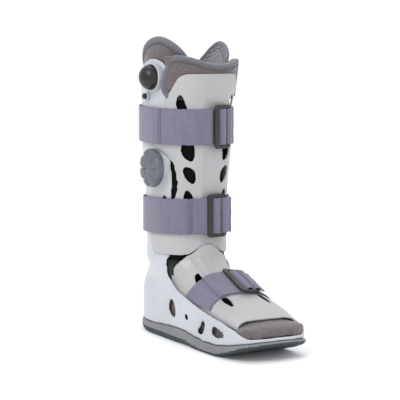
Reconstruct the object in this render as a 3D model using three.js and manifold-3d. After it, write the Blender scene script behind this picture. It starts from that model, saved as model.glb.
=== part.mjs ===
// Tall walking boot for an injured foot or ankle: a rigid shell with a front
// and a foot panel, held round a padded liner by three straps, with a hand
// pump and a selector dial on one side. Millimetres, +Z up, toes towards -Y.
// The origin lies on the floor, on the flat of the heel tread; the heights
// below are given over the sole, which its tread lifts off the floor.
import * as THREE from 'three';
import { mergeVertices } from 'three/addons/utils/BufferGeometryUtils.js';
import Module from 'manifold-3d';

const wasm = await Module();
wasm.setup();

// Driving dimensions
const shellHeight = 394; // sole to the top of the shell's side wings
const linerHeight = 422; // sole to the top of the liner's two ears
const footLength = 309; // heel to toe, over the shell
const toeSwing = 6; // the toes point this far to the outer side
const toeSkew = 0.06; // and the toe edge turns with them
const heelReach = 86; // the heel lies this far behind the origin
const footWidth = 112; // over the shell at the ball of the foot
const calfWidth = 123; // over the shell at the top of the calf
const calfDepth = 134;
const calfMiddle = 7; // the leg's middle lies this far behind the origin
const ankleTop = 114; // above this the shell is a plain leg tube
const footTop = 56; // below this it has the outline of the foot
const wall = 2.6; // moulded plastic walls
const gap = 0.3; // running gap between touching pieces
const padding = 6; // padded liner
const earSpread = 6; // its ears lean out over the shell
const cellThickness = 2.8; // air cell between the shell and the liner
const baseBoard = 4; // the shell's floor over the outsole
const solePitch = 14; // tread bars, from one to the next
const treadDepth = 3.5; // the tread lies this far below the heights given here
const grooveDepth = 2;
const grooveWidth = 4;
const soleOverhang = 1.5; // the outsole stands out round the shell
const webbing = 1.8; // strap thickness
const strapWidth = 50;
const strapBend = 8; // the straps bend in this far behind the leg's middle
const upperStrapLift = 4.1; // the straps' distance off the shell, over the front panel
const lowerStrapLift = 4;
const upperBackLift = 0.7; // and behind it
const lowerBackLift = 0.6;
const footBuckleLift = 0.9; // the flat buckle lies this far off the arched strap
const footStrapToe = 86; // from the toe edge back to the foot strap
const panelRise = 3; // the front panel starts this far over the ankle
const panelBottom = ankleTop + panelRise;
const waveRise = 15; // the bottom edge rises in a wave over the instep
const waveReach = 34; // half the width of that wave
const dialRadius = 27;
const dialRim = 9;
const dialCrown = 15;
const dialBossRadius = 21;
const dialForward = 9.5; // dial axis in front of the origin
const dialPetals = 8;
const dialFace = 60; // the boss ends this far out from the middle plane
const bulbRadius = 18;
const seatRim = 1; // the bulb's seat stands out round it
const flapReach = 0.8; // and reaches this far in front of the tongue flap's edge
const seatFace = 64; // the bulb seat and valve collar end this far out
const valveBack = 9.5;
const valveRadius = 4;
const collarRadius = 6.2;
const valveReach = 4.6;
const valveTravel = 2; // pressed into the pocket of its collar
const valvePocket = 2.6;
const buckleLength = 61; // along the leg
const buckleWidth = 33;
const buckleThickness = 3.2;
const buckleBar = 5;
const buckleWideBar = 8; // the bar that shows over the strap
const buckleCorner = 6;
const upperBuckleTurn = 14; // degrees round the leg from the front
const lowerBuckleTurn = 10;
const toeCoverThickness = 5;
const instepEase = 0.5; // spare room for the strap beside the foot panel
const strapMargin = 3; // levels of the walls lie this far off a strap's edges
const flareStep = 17; // and one this far over the air cell
const soleChamfer = 2.5; // the outsole's lower edge is drawn in
const soleLip = 0.8; // and so is its upper one
const grooveDraft = 1; // the grooves' sides lean in
const tongueRise = 8; // the tongue ends this far over the front panel's bottom
const sides = 28; // points round an outline

// Places along the leg, in shares of shellHeight
const upperStrapHeight = shellHeight * 0.7614; // middle of the strap
const lowerStrapHeight = shellHeight * 0.4365;
const dialHeight = shellHeight * 0.609;
const bulbHeight = shellHeight * 0.9315;
const valveHeight = shellHeight * 0.863;
const panelTop = shellHeight * 0.9467; // top edge of the front panel
const cellTop = shellHeight * 0.8807; // the air cell ends behind the front panel

// Curves of the outlines: 2 is an oval, and more is squarer
const legSquareness = 2.15;
const heelSquareness = 2.3;
const toeSquareness = 8;
const heelCurve = 0.28; // share of heelReach at which the heel's curve starts

// The straps round the leg; tilt is their rise towards the heel
const upperStrap = { middle: upperStrapHeight, lift: upperStrapLift, backLift: upperBackLift, tilt: 0.03 };
const lowerStrap = { middle: lowerStrapHeight, lift: lowerStrapLift, backLift: lowerBackLift, tilt: -0.02 };

// The leg of the shell: height as a share of shellHeight, half width and
// half depth as shares of half calfWidth and half calfDepth
const legRows = [
  { up: 0.28, wide: 0.88, deep: 0.88 },
  { up: 0.38, wide: 0.86, deep: 0.87 },
  { up: 0.5, wide: 0.88, deep: 0.9 },
  { up: 0.6, wide: 0.92, deep: 0.94 },
  { up: 0.7, wide: 0.965, deep: 0.965 },
  { up: 0.85, wide: 0.975, deep: 0.975 },
  { up: 1, wide: 1, deep: 1 },
  { up: 1.08, wide: 1.01, deep: 1.01 },
];

// The foot of the shell: distance from the heel as a share of footLength,
// half width as a share of half footWidth
const footRows = [
  { along: 0, wide: 0.82 },
  { along: 0.2, wide: 0.86 },
  { along: 0.45, wide: 0.89 },
  { along: 0.62, wide: 0.96 },
  { along: 0.76, wide: 1 },
  { along: 0.9, wide: 1 },
  { along: 1, wide: 0.98 },
];

// The sole from heel to toe: top and bottom as heights in shares of footTop
const soleRows = [
  { along: 0, top: 0.24, bottom: 0.08 },
  { along: 0.1, top: 0.22, bottom: 0.03 },
  { along: 0.18, top: 0.225, bottom: 0 },
  { along: 0.4, top: 0.3, bottom: 0 },
  { along: 0.46, top: 0.315, bottom: 0.03 },
  { along: 0.56, top: 0.28, bottom: 0.05 },
  { along: 0.62, top: 0.23, bottom: 0 },
  { along: 0.78, top: 0.205, bottom: 0 },
  { along: 0.86, top: 0.26, bottom: 0.1 },
  { along: 1, top: 0.43, bottom: 0.41 },
];

// How far the front panel stands off the shell, in shares of padding: it
// flares at the top to let the tongue out. Heights are shares of the way from
// the upper strap's edge to the panel's top
const flareRows = [
  { up: -6, off: 0 },
  { up: -1, off: 0.02 },
  { up: 0.08, off: 0.17 },
  { up: 0.5, off: 0.85 },
  { up: 1.03, off: 1.5 },
  { up: 1.52, off: 2.05 },
  { up: 2.1, off: 2.3 },
];

// How far the liner leans out above the shell, in shares of earSpread
const earRows = [
  { up: 0.95, off: 0 },
  { up: 1.01, off: 0.5 },
  { up: 1.08, off: 1 },
];

// The instep from toe to shin: crest in shares of footLength from the heel
// and of footTop in height, the lean of the arch in degrees from upright,
// the depth of its sides in shares of footTop, and its roundness: a flat
// arch is 0.5 and a round one 1
const instepRows = [
  { along: 0.91, up: 0.9, lean: 0, drop: 0.3, round: 0.5 },
  { along: 0.82, up: 1.11, lean: 0, drop: 0.45, round: 0.56 },
  { along: 0.7, up: 1.36, lean: 4, drop: 0.62, round: 0.7 },
  { along: 0.61, up: 1.57, lean: 14, drop: 0.85, round: 0.82 },
  { along: 0.535, up: 1.77, lean: 38, drop: 1.05, round: 0.88 },
  { along: 0.484, up: 1.95, lean: 58, drop: 1.07, round: 0.92 },
  { along: 0.455, up: 2.08, lean: 76, drop: 1.05, round: 0.95 },
  { along: 0.444, up: 2.24, lean: 87, drop: 1.035, round: 0.95 },
  { along: 0.443, up: 2.6, lean: 90, drop: 1.035, round: 0.95 },
];

// Side views, from front to back: y in shares of heelReach, z in shares of
// shellHeight
const shellEdge = [
  { y: -2.49, z: 0.074 },
  { y: -2.25, z: 0.104 },
  { y: -1.5, z: 0.135 },
  { y: -1, z: 0.158 },
  { y: -0.68, z: 0.178 },
  { y: -0.48, z: 0.205 },
  { y: -0.36, z: 0.24 },
  { y: -0.3, z: 0.28 },
  { y: -0.3, z: 0.34 },
  { y: -0.34, z: 0.5 },
  { y: -0.37, z: 0.63 },
  { y: -0.38, z: 0.8 },
  { y: -0.4, z: 0.92 },
  { y: -0.36, z: 0.965 },
  { y: -0.22, z: 0.992 },
  { y: -0.03, z: 1 },
  { y: 0.2, z: 0.985 },
  { y: 0.45, z: 0.95 },
  { y: 0.9, z: 0.93 },
];
const panelEdge = [
  { y: -0.7, z: 0.946 },
  { y: -0.61, z: 0.935 },
  { y: -0.53, z: 0.907 },
  { y: -0.4, z: 0.865 },
  { y: -0.28, z: 0.832 },
  { y: -0.08, z: 0.77 },
  { y: 0.03, z: 0.72 },
  { y: -0.03, z: 0.695 },
  { y: -0.22, z: 0.67 },
  { y: -0.4, z: 0.638 },
  { y: -0.45, z: 0.585 },
  { y: -0.44, z: 0.53 },
  { y: -0.38, z: 0.495 },
  { y: -0.15, z: 0.455 },
  { y: 0.08, z: 0.41 },
  { y: 0.15, z: 0.36 },
  { y: 0.1, z: 0.32 },
];
const linerEdge = [
  { y: -2.47, z: 0.06 },
  { y: -2.2, z: 0.085 },
  { y: -1.5, z: 0.115 },
  { y: -1, z: 0.135 },
  { y: -0.7, z: 0.155 },
  { y: -0.5, z: 0.2 },
  { y: -0.43, z: 0.26 },
  { y: -0.42, z: 0.4 },
  { y: -0.42, z: 0.8 },
  { y: -0.42, z: 0.93 },
];
// The liner's ears on the pump side and on the other one: heights are shares
// of the way from the edge above to linerHeight
const earFoot = linerEdge[linerEdge.length - 1].z;
const pumpEar = [
  { y: -0.47, up: 0.16 },
  { y: -0.53, up: 0.3 },
  { y: -0.54, up: 0.5 },
  { y: -0.5, up: 0.68 },
  { y: -0.42, up: 0.84 },
  { y: -0.3, up: 0.96 },
  { y: -0.18, up: 1 },
  { y: -0.04, up: 0.98 },
  { y: 0.12, up: 0.9 },
  { y: 0.28, up: 0.76 },
  { y: 0.4, up: 0.6 },
  { y: 0.48, up: 0.45 },
  { y: 0.57, up: 0.28 },
  { y: 0.68, up: 0.17 },
  { y: 0.9, up: 0.14 },
];
const otherEar = [
  { y: -0.46, up: 0.14 },
  { y: -0.47, up: 0.3 },
  { y: -0.4, up: 0.48 },
  { y: -0.28, up: 0.64 },
  { y: -0.14, up: 0.78 },
  { y: 0, up: 0.87 },
  { y: 0.12, up: 0.88 },
  { y: 0.24, up: 0.8 },
  { y: 0.34, up: 0.68 },
  { y: 0.44, up: 0.5 },
  { y: 0.54, up: 0.32 },
  { y: 0.66, up: 0.18 },
  { y: 0.9, up: 0.14 },
];
const tongueEdge = [
  { y: -0.74, z: 1.03 },
  { y: -0.6, z: 1.015 },
  { y: -0.48, z: 0.995 },
  { y: -0.385, z: 0.955 },
  { y: -0.31, z: 0.9 },
  { y: -0.31, z: 0.873 },
  { y: -0.4, z: 0.855 },
  { y: -0.6, z: 0.845 },
];
// The tongue's top edge from the front: x in shares of half calfWidth
const tongueTop = [
  { x: -1.2, z: 1.01 },
  { x: -0.9, z: 1.008 },
  { x: -0.7, z: 1.005 },
  { x: -0.45, z: 0.995 },
  { x: -0.15, z: 0.98 },
  { x: 0.15, z: 0.975 },
  { x: 0.5, z: 0.98 },
  { x: 0.85, z: 0.996 },
  { x: 1.2, z: 1.01 },
];
const instepEdge = [
  { y: -0.72, z: 0.385 },
  { y: -0.6, z: 0.345 },
  { y: -0.54, z: 0.3 },
  { y: -0.42, z: 0.265 },
  { y: -0.365, z: 0.226 },
  { y: -0.4, z: 0.19 },
  { y: -0.55, z: 0.16 },
  { y: -1, z: 0.135 },
  { y: -1.5, z: 0.114 },
  { y: -2, z: 0.102 },
  { y: -2.3, z: 0.092 },
];

// Front panel vents, seen from the front: x in shares of half calfWidth
const panelVents = [
  [[0.69, 0.872], [0.73, 0.85], [0.68, 0.81], [0.62, 0.79], [0.5, 0.79], [0.58, 0.84]],
  [[0.4, 0.7], [0.6, 0.7], [0.62, 0.67], [0.54, 0.647], [0.4, 0.636], [0.375, 0.66]],
  [[0.57, 0.614], [0.55, 0.585], [0.45, 0.563], [0.36, 0.555], [0.33, 0.58], [0.38, 0.604]],
  [[0.5, 0.532], [0.53, 0.52], [0.53, 0.45], [0.36, 0.45], [0.36, 0.497], [0.42, 0.52]],
];
// Openings in the foot's side walls: y in shares of heelReach
const footVents = [
  [[-0.415, 0.142], [-0.33, 0.118], [-0.37, 0.095], [-0.52, 0.08], [-0.545, 0.1], [-0.5, 0.131]],
  [[-0.92, 0.107], [-0.88, 0.092], [-0.97, 0.087]],
  [[-1.45, 0.1], [-1.37, 0.074], [-1.26, 0.058], [-1.46, 0.058], [-1.51, 0.094]],
  [[-1.76, 0.088], [-1.73, 0.064], [-2.04, 0.066], [-1.98, 0.08], [-1.87, 0.087]],
];
const wingVent = [[-0.1, 0.492], [-0.235, 0.51], [-0.245, 0.494]];
// Slots in the foot panel, seen from above: x in shares of half footWidth,
// y in shares of heelReach
const instepSlots = [
  [[0.45, -0.8], [0.53, -0.79], [0.61, -0.96], [0.59, -1], [0.5, -0.99]],
  [[0.43, -1.58], [0.56, -1.57], [0.58, -1.76], [0.53, -1.86], [0.47, -1.8]],
];

// The felt cover over the toes: crest and sides in shares, from the instep
// down to the shell's rim
const toeRows = [
  { along: 0.8, up: 0.98, drop: 0.3 },
  { along: 0.91, up: 0.79, drop: 0.2 },
  { along: 0.955, up: 0.75, drop: 0.17 },
  { along: 0.968, up: 0.73, drop: 0.1 },
  { along: 0.978, up: 0.68, drop: 0.04 },
  { along: 0.984, up: 0.63, drop: 0.02 },
];

// Helpers
const mix = (a, b, share) => a + (b - a) * share;
const ease = (share) => THREE.MathUtils.smoothstep(share, 0, 1);
const radians = THREE.MathUtils.degToRad;

// A smooth curve through one column of a table
function column(rows, key, name, at) {
  const sorted = rows[0][key] < rows[1][key] ? rows : [...rows].reverse();
  const last = sorted.length - 1;
  if (at <= sorted[0][key]) return sorted[0][name];
  if (at >= sorted[last][key]) return sorted[last][name];
  const i = sorted.findIndex((row) => row[key] > at) - 1;
  const slope = (k) => {
    const a = sorted[Math.max(k - 1, 0)];
    const b = sorted[Math.min(k + 1, last)];
    return (b[name] - a[name]) / (b[key] - a[key]);
  };
  const [a, b] = [sorted[i], sorted[i + 1]];
  const span = b[key] - a[key];
  const t = (at - a[key]) / span;
  const s = 1 - t;
  return s * s * (1 + 2 * t) * a[name] + t * t * (1 + 2 * s) * b[name]
    + s * s * t * span * slope(i) - t * t * s * span * slope(i + 1);
}

function solid(geometry) {
  geometry.deleteAttribute('normal');
  geometry.deleteAttribute('uv');
  const merged = mergeVertices(geometry, 1e-4);
  return new wasm.Manifold(new wasm.Mesh({
    numProp: 3,
    vertProperties: new Float32Array(merged.attributes.position.array),
    triVerts: new Uint32Array(merged.index.array),
  }));
}

// A closed body from a grid of points whose first and last rows are capped
function body(points, triangles) {
  const geometry = new THREE.BufferGeometry();
  let volume = 0;
  for (const [a, b, c] of triangles) {
    const [p, q, r] = [points[a], points[b], points[c]];
    volume += p[0] * (q[1] * r[2] - q[2] * r[1]) - p[1] * (q[0] * r[2] - q[2] * r[0])
      + p[2] * (q[0] * r[1] - q[1] * r[0]);
  }
  const index = volume > 0 ? triangles : triangles.map(([a, b, c]) => [a, c, b]);
  geometry.setAttribute('position', new THREE.Float32BufferAttribute(points.flat(), 3));
  geometry.setIndex(index.flat());
  return solid(geometry);
}

// Rings with their first point at the back and the rest mirrored in x
function loft(rings) {
  const n = rings[0].length;
  const triangles = [];
  const quad = (a, b, c, d) => triangles.push([a, b, c], [a, c, d]);
  for (let k = 0; k + 1 < rings.length; k += 1) {
    for (let i = 0; i < n; i += 1) {
      const j = (i + 1) % n;
      quad(k * n + i, k * n + j, (k + 1) * n + j, (k + 1) * n + i);
    }
  }
  for (const [base, turned] of [[0, false], [(rings.length - 1) * n, true]]) {
    for (let i = 0; i < n / 2; i += 1) {
      const strip = [i, i + 1, n - i - 1, (n - i) % n].map((k) => base + k);
      const ends = [...new Set(strip)];
      if (!turned) ends.reverse();
      triangles.push([ends[0], ends[1], ends[2]]);
      if (ends.length === 4) triangles.push([ends[0], ends[2], ends[3]]);
    }
  }
  return body(rings.flat(), triangles);
}

// A bent plate: surface(u, v, rise) at every u and v, between two rises
function plate(surface, us, vs, low, high) {
  const points = [];
  const triangles = [];
  const layers = [low, high];
  const at = (layer, i, j) => (layer * us.length + i) * vs.length + j;
  for (const rise of layers) {
    for (const u of us) for (const v of vs) points.push(surface(u, v, rise));
  }
  const quad = (a, b, c, d) => triangles.push([a, b, c], [a, c, d]);
  const [I, J] = [us.length - 1, vs.length - 1];
  for (let i = 0; i < I; i += 1) {
    for (let j = 0; j < J; j += 1) {
      quad(at(0, i, j), at(0, i, j + 1), at(0, i + 1, j + 1), at(0, i + 1, j));
      quad(at(1, i, j), at(1, i + 1, j), at(1, i + 1, j + 1), at(1, i, j + 1));
    }
  }
  for (let i = 0; i < I; i += 1) {
    quad(at(0, i, 0), at(0, i + 1, 0), at(1, i + 1, 0), at(1, i, 0));
    quad(at(0, i, J), at(1, i, J), at(1, i + 1, J), at(0, i + 1, J));
  }
  for (let j = 0; j < J; j += 1) {
    quad(at(0, 0, j), at(1, 0, j), at(1, 0, j + 1), at(0, 0, j + 1));
    quad(at(0, I, j), at(0, I, j + 1), at(1, I, j + 1), at(1, I, j));
  }
  return body(points, triangles);
}

const steps = (from, to, count) => Array.from({ length: count + 1 }, (_, i) => mix(from, to, i / count));

// An outline pushed straight through: along X from a side view, along Y
// from a front view, along Z from above
function prism(outline, axis, from, to) {
  const shape = new THREE.Shape(outline.map(([a, b]) => new THREE.Vector2(a, b)));
  const geometry = new THREE.ExtrudeGeometry(shape, { depth: to - from, bevelEnabled: false });
  const [x, y, z] = [[1, 0, 0], [0, 1, 0], [0, 0, 1]].map((v) => new THREE.Vector3(...v));
  const turns = { x: [y, z, x], y: [x, z, y.clone().negate()], z: [x, y, z] };
  const place = new THREE.Matrix4().makeBasis(...turns[axis]);
  geometry.translate(0, 0, axis === 'y' ? -to : from);
  return solid(geometry.applyMatrix4(place));
}

// Smooth points through a short outline
function smooth(points, count, closed = false) {
  const curve = new THREE.CatmullRomCurve3(points.map(([a, b]) => new THREE.Vector3(a, b, 0)), closed);
  const found = curve.getPoints(count).map((p) => [p.x, p.y]);
  return closed ? found.slice(0, -1) : found;
}

const sideView = (rows, count = 26) =>
  smooth(rows.map((row) => [row.y * heelReach, row.z * shellHeight]), count);

// The largest body of a cut shape, without the slivers that a cut leaves
const mainBody = (shape) => shape.decompose().reduce((a, b) => (a.volume() > b.volume() ? a : b));

// Outlines of the shell from above
const toeReach = heelReach - footLength;
const calfHalf = calfWidth / 2;
const ballHalf = footWidth / 2;
const heelCentre = heelReach * heelCurve;
const far = footLength * 2;

function legOutline(height, grow) {
  const up = height / shellHeight;
  const halfWidth = column(legRows, 'up', 'wide', up) * calfHalf + grow;
  const halfDepth = (column(legRows, 'up', 'deep', up) * calfDepth) / 2 + grow;
  const roundness = 2 / legSquareness;
  return Array.from({ length: sides }, (_, i) => {
    const turn = (2 * Math.PI * i) / sides;
    const [s, c] = [Math.sin(turn), Math.cos(turn)];
    return [Math.sign(s) * halfWidth * Math.abs(s) ** roundness,
      calfMiddle + Math.sign(c) * halfDepth * Math.abs(c) ** roundness];
  });
}

const alongFoot = (y) => (heelReach - y) / footLength;
const footHalf = (y) => column(footRows, 'along', 'wide', alongFoot(y)) * ballHalf;

// pinch narrows the outline in front of the heel
function footOutline(grow, pinch) {
  const half = [];
  for (const turn of steps(0, Math.PI, 120)) {
    const [s, c] = [Math.sin(turn), Math.cos(turn)];
    const front = c < 0;
    const power = 2 / (front ? toeSquareness : heelSquareness);
    const reach = front ? heelCentre - toeReach + grow : heelReach + grow - heelCentre;
    const y = heelCentre + Math.sign(c) * reach * Math.abs(c) ** power;
    const narrow = pinch * ease((alongFoot(y) - 0.2) / 0.2);
    half.push(new THREE.Vector2((footHalf(y) + grow - narrow) * Math.max(s, 0) ** power, y));
  }
  const path = new THREE.Path();
  path.setFromPoints(half);
  const right = path.getSpacedPoints(sides / 2).map((p) => [p.x, p.y]);
  const left = right.slice(1, -1).reverse().map(([x, y]) => [-x, y]);
  right[0][0] = 0;
  right[right.length - 1][0] = 0;
  return [...right, ...left];
}

function outline(height, grow, pinch = 0) {
  const share = ease((height - footTop) / (ankleTop - footTop));
  const leg = legOutline(height, grow);
  const foot = footOutline(grow, pinch);
  return leg.map(([x, y], i) => [mix(foot[i][0], x, share), mix(foot[i][1], y, share)]);
}

// Heights of the outlines that every wall is lofted through
const strapRoom = strapWidth / 2 + strapMargin;
const topRoom = 1.01; // the walls are lofted a little past their tops
const levels = [footTop * 0.62, ...steps(footTop, ankleTop, 4), lowerStrapHeight - strapRoom,
  lowerStrapHeight + strapRoom, dialHeight, upperStrapHeight - strapRoom, upperStrapHeight + strapRoom,
  cellTop, cellTop + flareStep, panelTop, shellHeight * topRoom,
  Math.max(linerHeight, shellHeight * (topRoom + 0.01)) * topRoom];

const ring = (height, grow, pinch) => outline(height, grow, pinch).map(([x, y]) => [x, y, height]);

const soleTop = (y) => column(soleRows, 'along', 'top', alongFoot(y)) * footTop;
const soleBottom = (y) => Math.max(column(soleRows, 'along', 'bottom', alongFoot(y)), 0) * footTop - treadDepth;

// A solid from the sole up: lift is its height over the outsole, and spread
// widens it above the shell
function tube(lift, grow, pinch = 0, spread = 0) {
  const first = outline(0, grow, pinch).map(([x, y]) => [x, y, soleTop(y) + lift]);
  const wide = (height) => grow + spread * column(earRows, 'up', 'off', height / shellHeight);
  return loft([first, ...levels.map((height) => ring(height, wide(height), pinch))]);
}

// A wall between two layers, with their distances worked out at each level
function sleeve(outside, inside) {
  const used = levels.slice(1);
  const outer = loft(used.map((height) => ring(height, outside(height))));
  const spare = (height) => height + (height === used[0] ? -1 : 0) + (height === used.at(-1) ? 1 : 0);
  const inner = used.map((height) => outline(height, inside(height)).map(([x, y]) => [x, y, spare(height)]));
  return outer.subtract(loft(inner));
}

const upperStrapTop = upperStrapHeight + strapWidth / 2;
function flare(height) {
  const up = (height - upperStrapTop) / (panelTop - upperStrapTop);
  return column(flareRows, 'up', 'off', up) * padding;
}

const linerFront = linerEdge[linerEdge.length - 1].y;

// The bulb sits beside the back edge of the tongue's flap
const flapBack = Math.max(...tongueEdge.map((row) => row.y)) * heelReach;
const bulbForward = flapReach - flapBack - bulbRadius - seatRim;

// Radial layers, as distances out from the outer face of the shell
const cellOuter = -wall - gap;
const cellInner = cellOuter - cellThickness;
const linerOuter = cellInner - gap;
const linerInner = linerOuter - padding;
const panelInner = (height) => flare(height) + gap;
const panelOuter = (height) => panelInner(height) + wall;
const tongueOuter = (height) => panelInner(height) - gap;
// The foot panel lies inside the foot's walls with the strap between
const instepInset = wall + webbing + 2 * gap + instepEase;
const footPinch = instepInset + wall + gap + linerOuter;

// Half width of the shell at a place: along the foot and up
function widthAt(y, height, grow = 0) {
  const right = outline(height, grow).slice(0, sides / 2 + 1);
  const i = Math.max(right.findIndex((p) => p[1] <= y), 1);
  const [a, b] = [right[i - 1], right[i]];
  return mix(a[0], b[0], THREE.MathUtils.clamp((a[1] - y) / (a[1] - b[1]), 0, 1));
}

// The arch over the instep: along from the heel, turn from -1 to 1
function instep(along, turn, rise) {
  const crestY = heelReach - along * footLength;
  const crestZ = column(instepRows, 'along', 'up', along) * footTop;
  const lean = radians(column(instepRows, 'along', 'lean', along));
  const drop = column(instepRows, 'along', 'drop', along) * footTop + rise;
  const share = ease((crestZ - footTop * 1.5) / (ankleTop - footTop * 1.5));
  const endY = crestY + Math.sin(lean) * drop;
  const endZ = crestZ - Math.cos(lean) * drop;
  const half = widthAt(endY, endZ) - mix(instepInset, gap, share) + rise;
  const power = column(instepRows, 'along', 'round', along);
  const angle = turn * (Math.PI / 2);
  const side = Math.sign(turn) * half * Math.abs(Math.sin(angle)) ** power;
  const fall = drop * (1 - Math.abs(Math.cos(angle)) ** power);
  const y = crestY - Math.sin(lean) * rise + Math.sin(lean) * fall;
  const z = crestZ + Math.cos(lean) * rise - Math.cos(lean) * fall;
  return [side, y, z];
}
// Stations along the instep, with some at the foot strap's edges
const instepFront = instepRows[0].along;
const instepEnd = instepRows[instepRows.length - 1].along;
const strapStations = steps(1 - footStrapToe / footLength, 1 - (footStrapToe + strapWidth) / footLength, 4);
const instepStations = [...steps(instepFront, strapStations[0], 3).slice(0, -1), ...strapStations,
  ...steps(strapStations[4], instepEnd, 6).slice(1)];
const instepTurns = steps(-1, 1, 12);
const instepPlate = (low, high) => plate(instep, instepStations, instepTurns, low, high);

// Bosses and seats start inside the shell's wall, at this share of its width
const discRoot = 0.7;

// Sub-parts
function makeShell() {
  const outer = tube(gap, 0);
  const inner = tube(gap + baseBoard, -wall);
  const boss = disc(dialBossRadius, calfHalf * discRoot, dialFace, -dialForward, dialHeight);
  const edge = sideView(shellEdge);
  const keep = prism([[-far, -far], [-far, edge[0][1]], ...edge, [far, edge[edge.length - 1][1]],
    [far, -far]], 'x', -far, far);
  let shell = outer.add(boss).subtract(inner).intersect(keep);
  for (const vent of footVents) {
    shell = shell.subtract(prism(smooth(sideShares(vent), 10, true), 'x', -far, far));
  }
  return shell.subtract(prism(sideShares(wingVent), 'x', -far, 0));
}

const sideShares = (points) => points.map(([y, z]) => [y * heelReach, z * shellHeight]);

// A disc on the pump side, along X, from one distance out to another
function disc(radius, from, to, y, z, count = 24) {
  const circle = steps(0, 2 * Math.PI, count).slice(0, -1)
    .map((turn) => [y + radius * Math.cos(turn), z + radius * Math.sin(turn)]);
  return prism(circle, 'x', -to, -from);
}

// The front panel's side edge ends this far in front, as a share of heelReach
const panelTuck = 0.06;

// The room under the wave in the front panel's bottom edge
function waveRoom(margin) {
  const wave = steps(-waveReach, waveReach, 12)
    .map((x) => [x, panelBottom - margin + waveRise * Math.cos((Math.PI * x) / (2 * waveReach)) ** 2]);
  return prism([[-waveReach, 0], ...wave, [waveReach, 0]], 'y', -far, calfMiddle);
}

function makeFrontPanel() {
  const edge = sideView(panelEdge);
  const keep = prism([[-far, panelTop], [edge[0][0], panelTop], ...edge,
    [edge[edge.length - 1][0] - heelReach * panelTuck, panelBottom], [-far, panelBottom]], 'x', -far, far);
  let panel = sleeve(panelOuter, panelInner).intersect(keep).subtract(waveRoom(0));
  for (const vent of panelVents) {
    for (const side of [-1, 1]) {
      const points = vent.map(([x, z]) => [side * x * calfHalf, z * shellHeight]);
      panel = panel.subtract(prism(smooth(points, 10, true), 'y', -far, calfMiddle));
    }
  }
  return panel;
}

// The foot panel's sides end at this share of the way to the toes
const instepToe = 0.88;

// The foot panel's side outline, moved outwards by a margin
function instepSides(margin) {
  const edge = sideView(instepEdge).map(([y, z]) => [y + margin, z - margin]);
  return prism([[-far, edge[0][1]], ...edge, [toeReach * instepToe, -margin], [-far, -margin]], 'x', -far, far);
}

function makeInstepPanel() {
  const low = panelBottom - gap;
  const above = prism([[-far, low], [-far, far], [calfMiddle, far], [calfMiddle, low]], 'x', -far, far);
  const panelRoom = sleeve((height) => panelOuter(height) + footTop, (height) => panelInner(height) - gap)
    .intersect(above).subtract(waveRoom(gap));
  let panel = instepPlate(-wall, 0).intersect(instepSides(0)).subtract(panelRoom);
  for (const slot of instepSlots) {
    for (const side of [-1, 1]) {
      const points = slot.map(([x, y]) => [side * x * ballHalf, y * heelReach]);
      panel = panel.subtract(prism(smooth(points, 10, true), 'z', 0, far));
    }
  }
  return mainBody(panel);
}

// Room that the foot panel needs from the pieces beneath
const instepSpace = () => plate(instep, [instepFront + (2 * gap) / footLength, ...instepStations],
  instepTurns, -wall - gap, gap);
const instepRoom = () => instepSpace().intersect(instepSides(2 * gap));

// The tread's grooves lie between these shares of the foot's length
const treadShares = [0.09, 0.93];

function makeOutsole() {
  const rows = [
    { share: 0, grow: soleOverhang - soleChamfer },
    { share: 0.25, grow: soleOverhang },
    { share: 0.8, grow: soleOverhang },
    { share: 1, grow: soleOverhang - soleLip },
  ];
  const rings = rows.map(({ share, grow }) => outline(0, grow)
    .map(([x, y]) => [x, y, mix(soleBottom(y), soleTop(y), share)]));
  let sole = loft(rings);
  const [start, end] = treadShares.map((share) => heelReach - footLength * share);
  for (let y = start; y > end; y -= solePitch) {
    const [half, top] = [grooveWidth / 2, soleBottom(y) + grooveDepth];
    const low = top - grooveDepth * 3;
    const groove = [[y - half, low], [y + half, low], [y + half - grooveDraft, top],
      [y - half + grooveDraft, top]];
    const centred = Math.abs(y) < solePitch / 2;
    if (!centred) sole = sole.subtract(prism(groove, 'x', -far, far));
  }
  return sole;
}

// The air cell starts at this share of footTop and ends this share of
// heelReach in front of the leg's side
const cellStart = 1.35;
const cellBack = 0.12;

function makeAirCell() {
  const [bottom, back] = [footTop * cellStart, -heelReach * cellBack];
  const front = prism([[-far, bottom], [-far, cellTop], [back, cellTop], [back, bottom]], 'x', -far, far);
  const cell = sleeve(() => cellOuter, () => cellInner);
  return mainBody(cell.intersect(front).subtract(instepSpace()));
}

// One side of the liner's outline, from one x to another
function linerSide(ear, from, to) {
  const earZ = (up) => mix(earFoot, linerHeight / shellHeight, up);
  const edge = sideView([...linerEdge, ...ear.map(({ y, up }) => ({ y, z: earZ(up) }))], 34);
  return prism([[-far, -far], [-far, edge[0][1]], ...edge, [far, edge[edge.length - 1][1]], [far, -far]], 'x',
    from, to);
}

function makeLiner() {
  const outer = tube(gap * 2 + baseBoard, linerOuter, footPinch, earSpread);
  const inner = tube(gap * 2 + baseBoard + padding, linerInner, footPinch, earSpread);
  const keep = linerSide(pumpEar, -far, 0).add(linerSide(otherEar, 0, far));
  return mainBody(outer.subtract(inner).intersect(keep).subtract(instepRoom()).subtract(toeRoom()));
}

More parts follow.
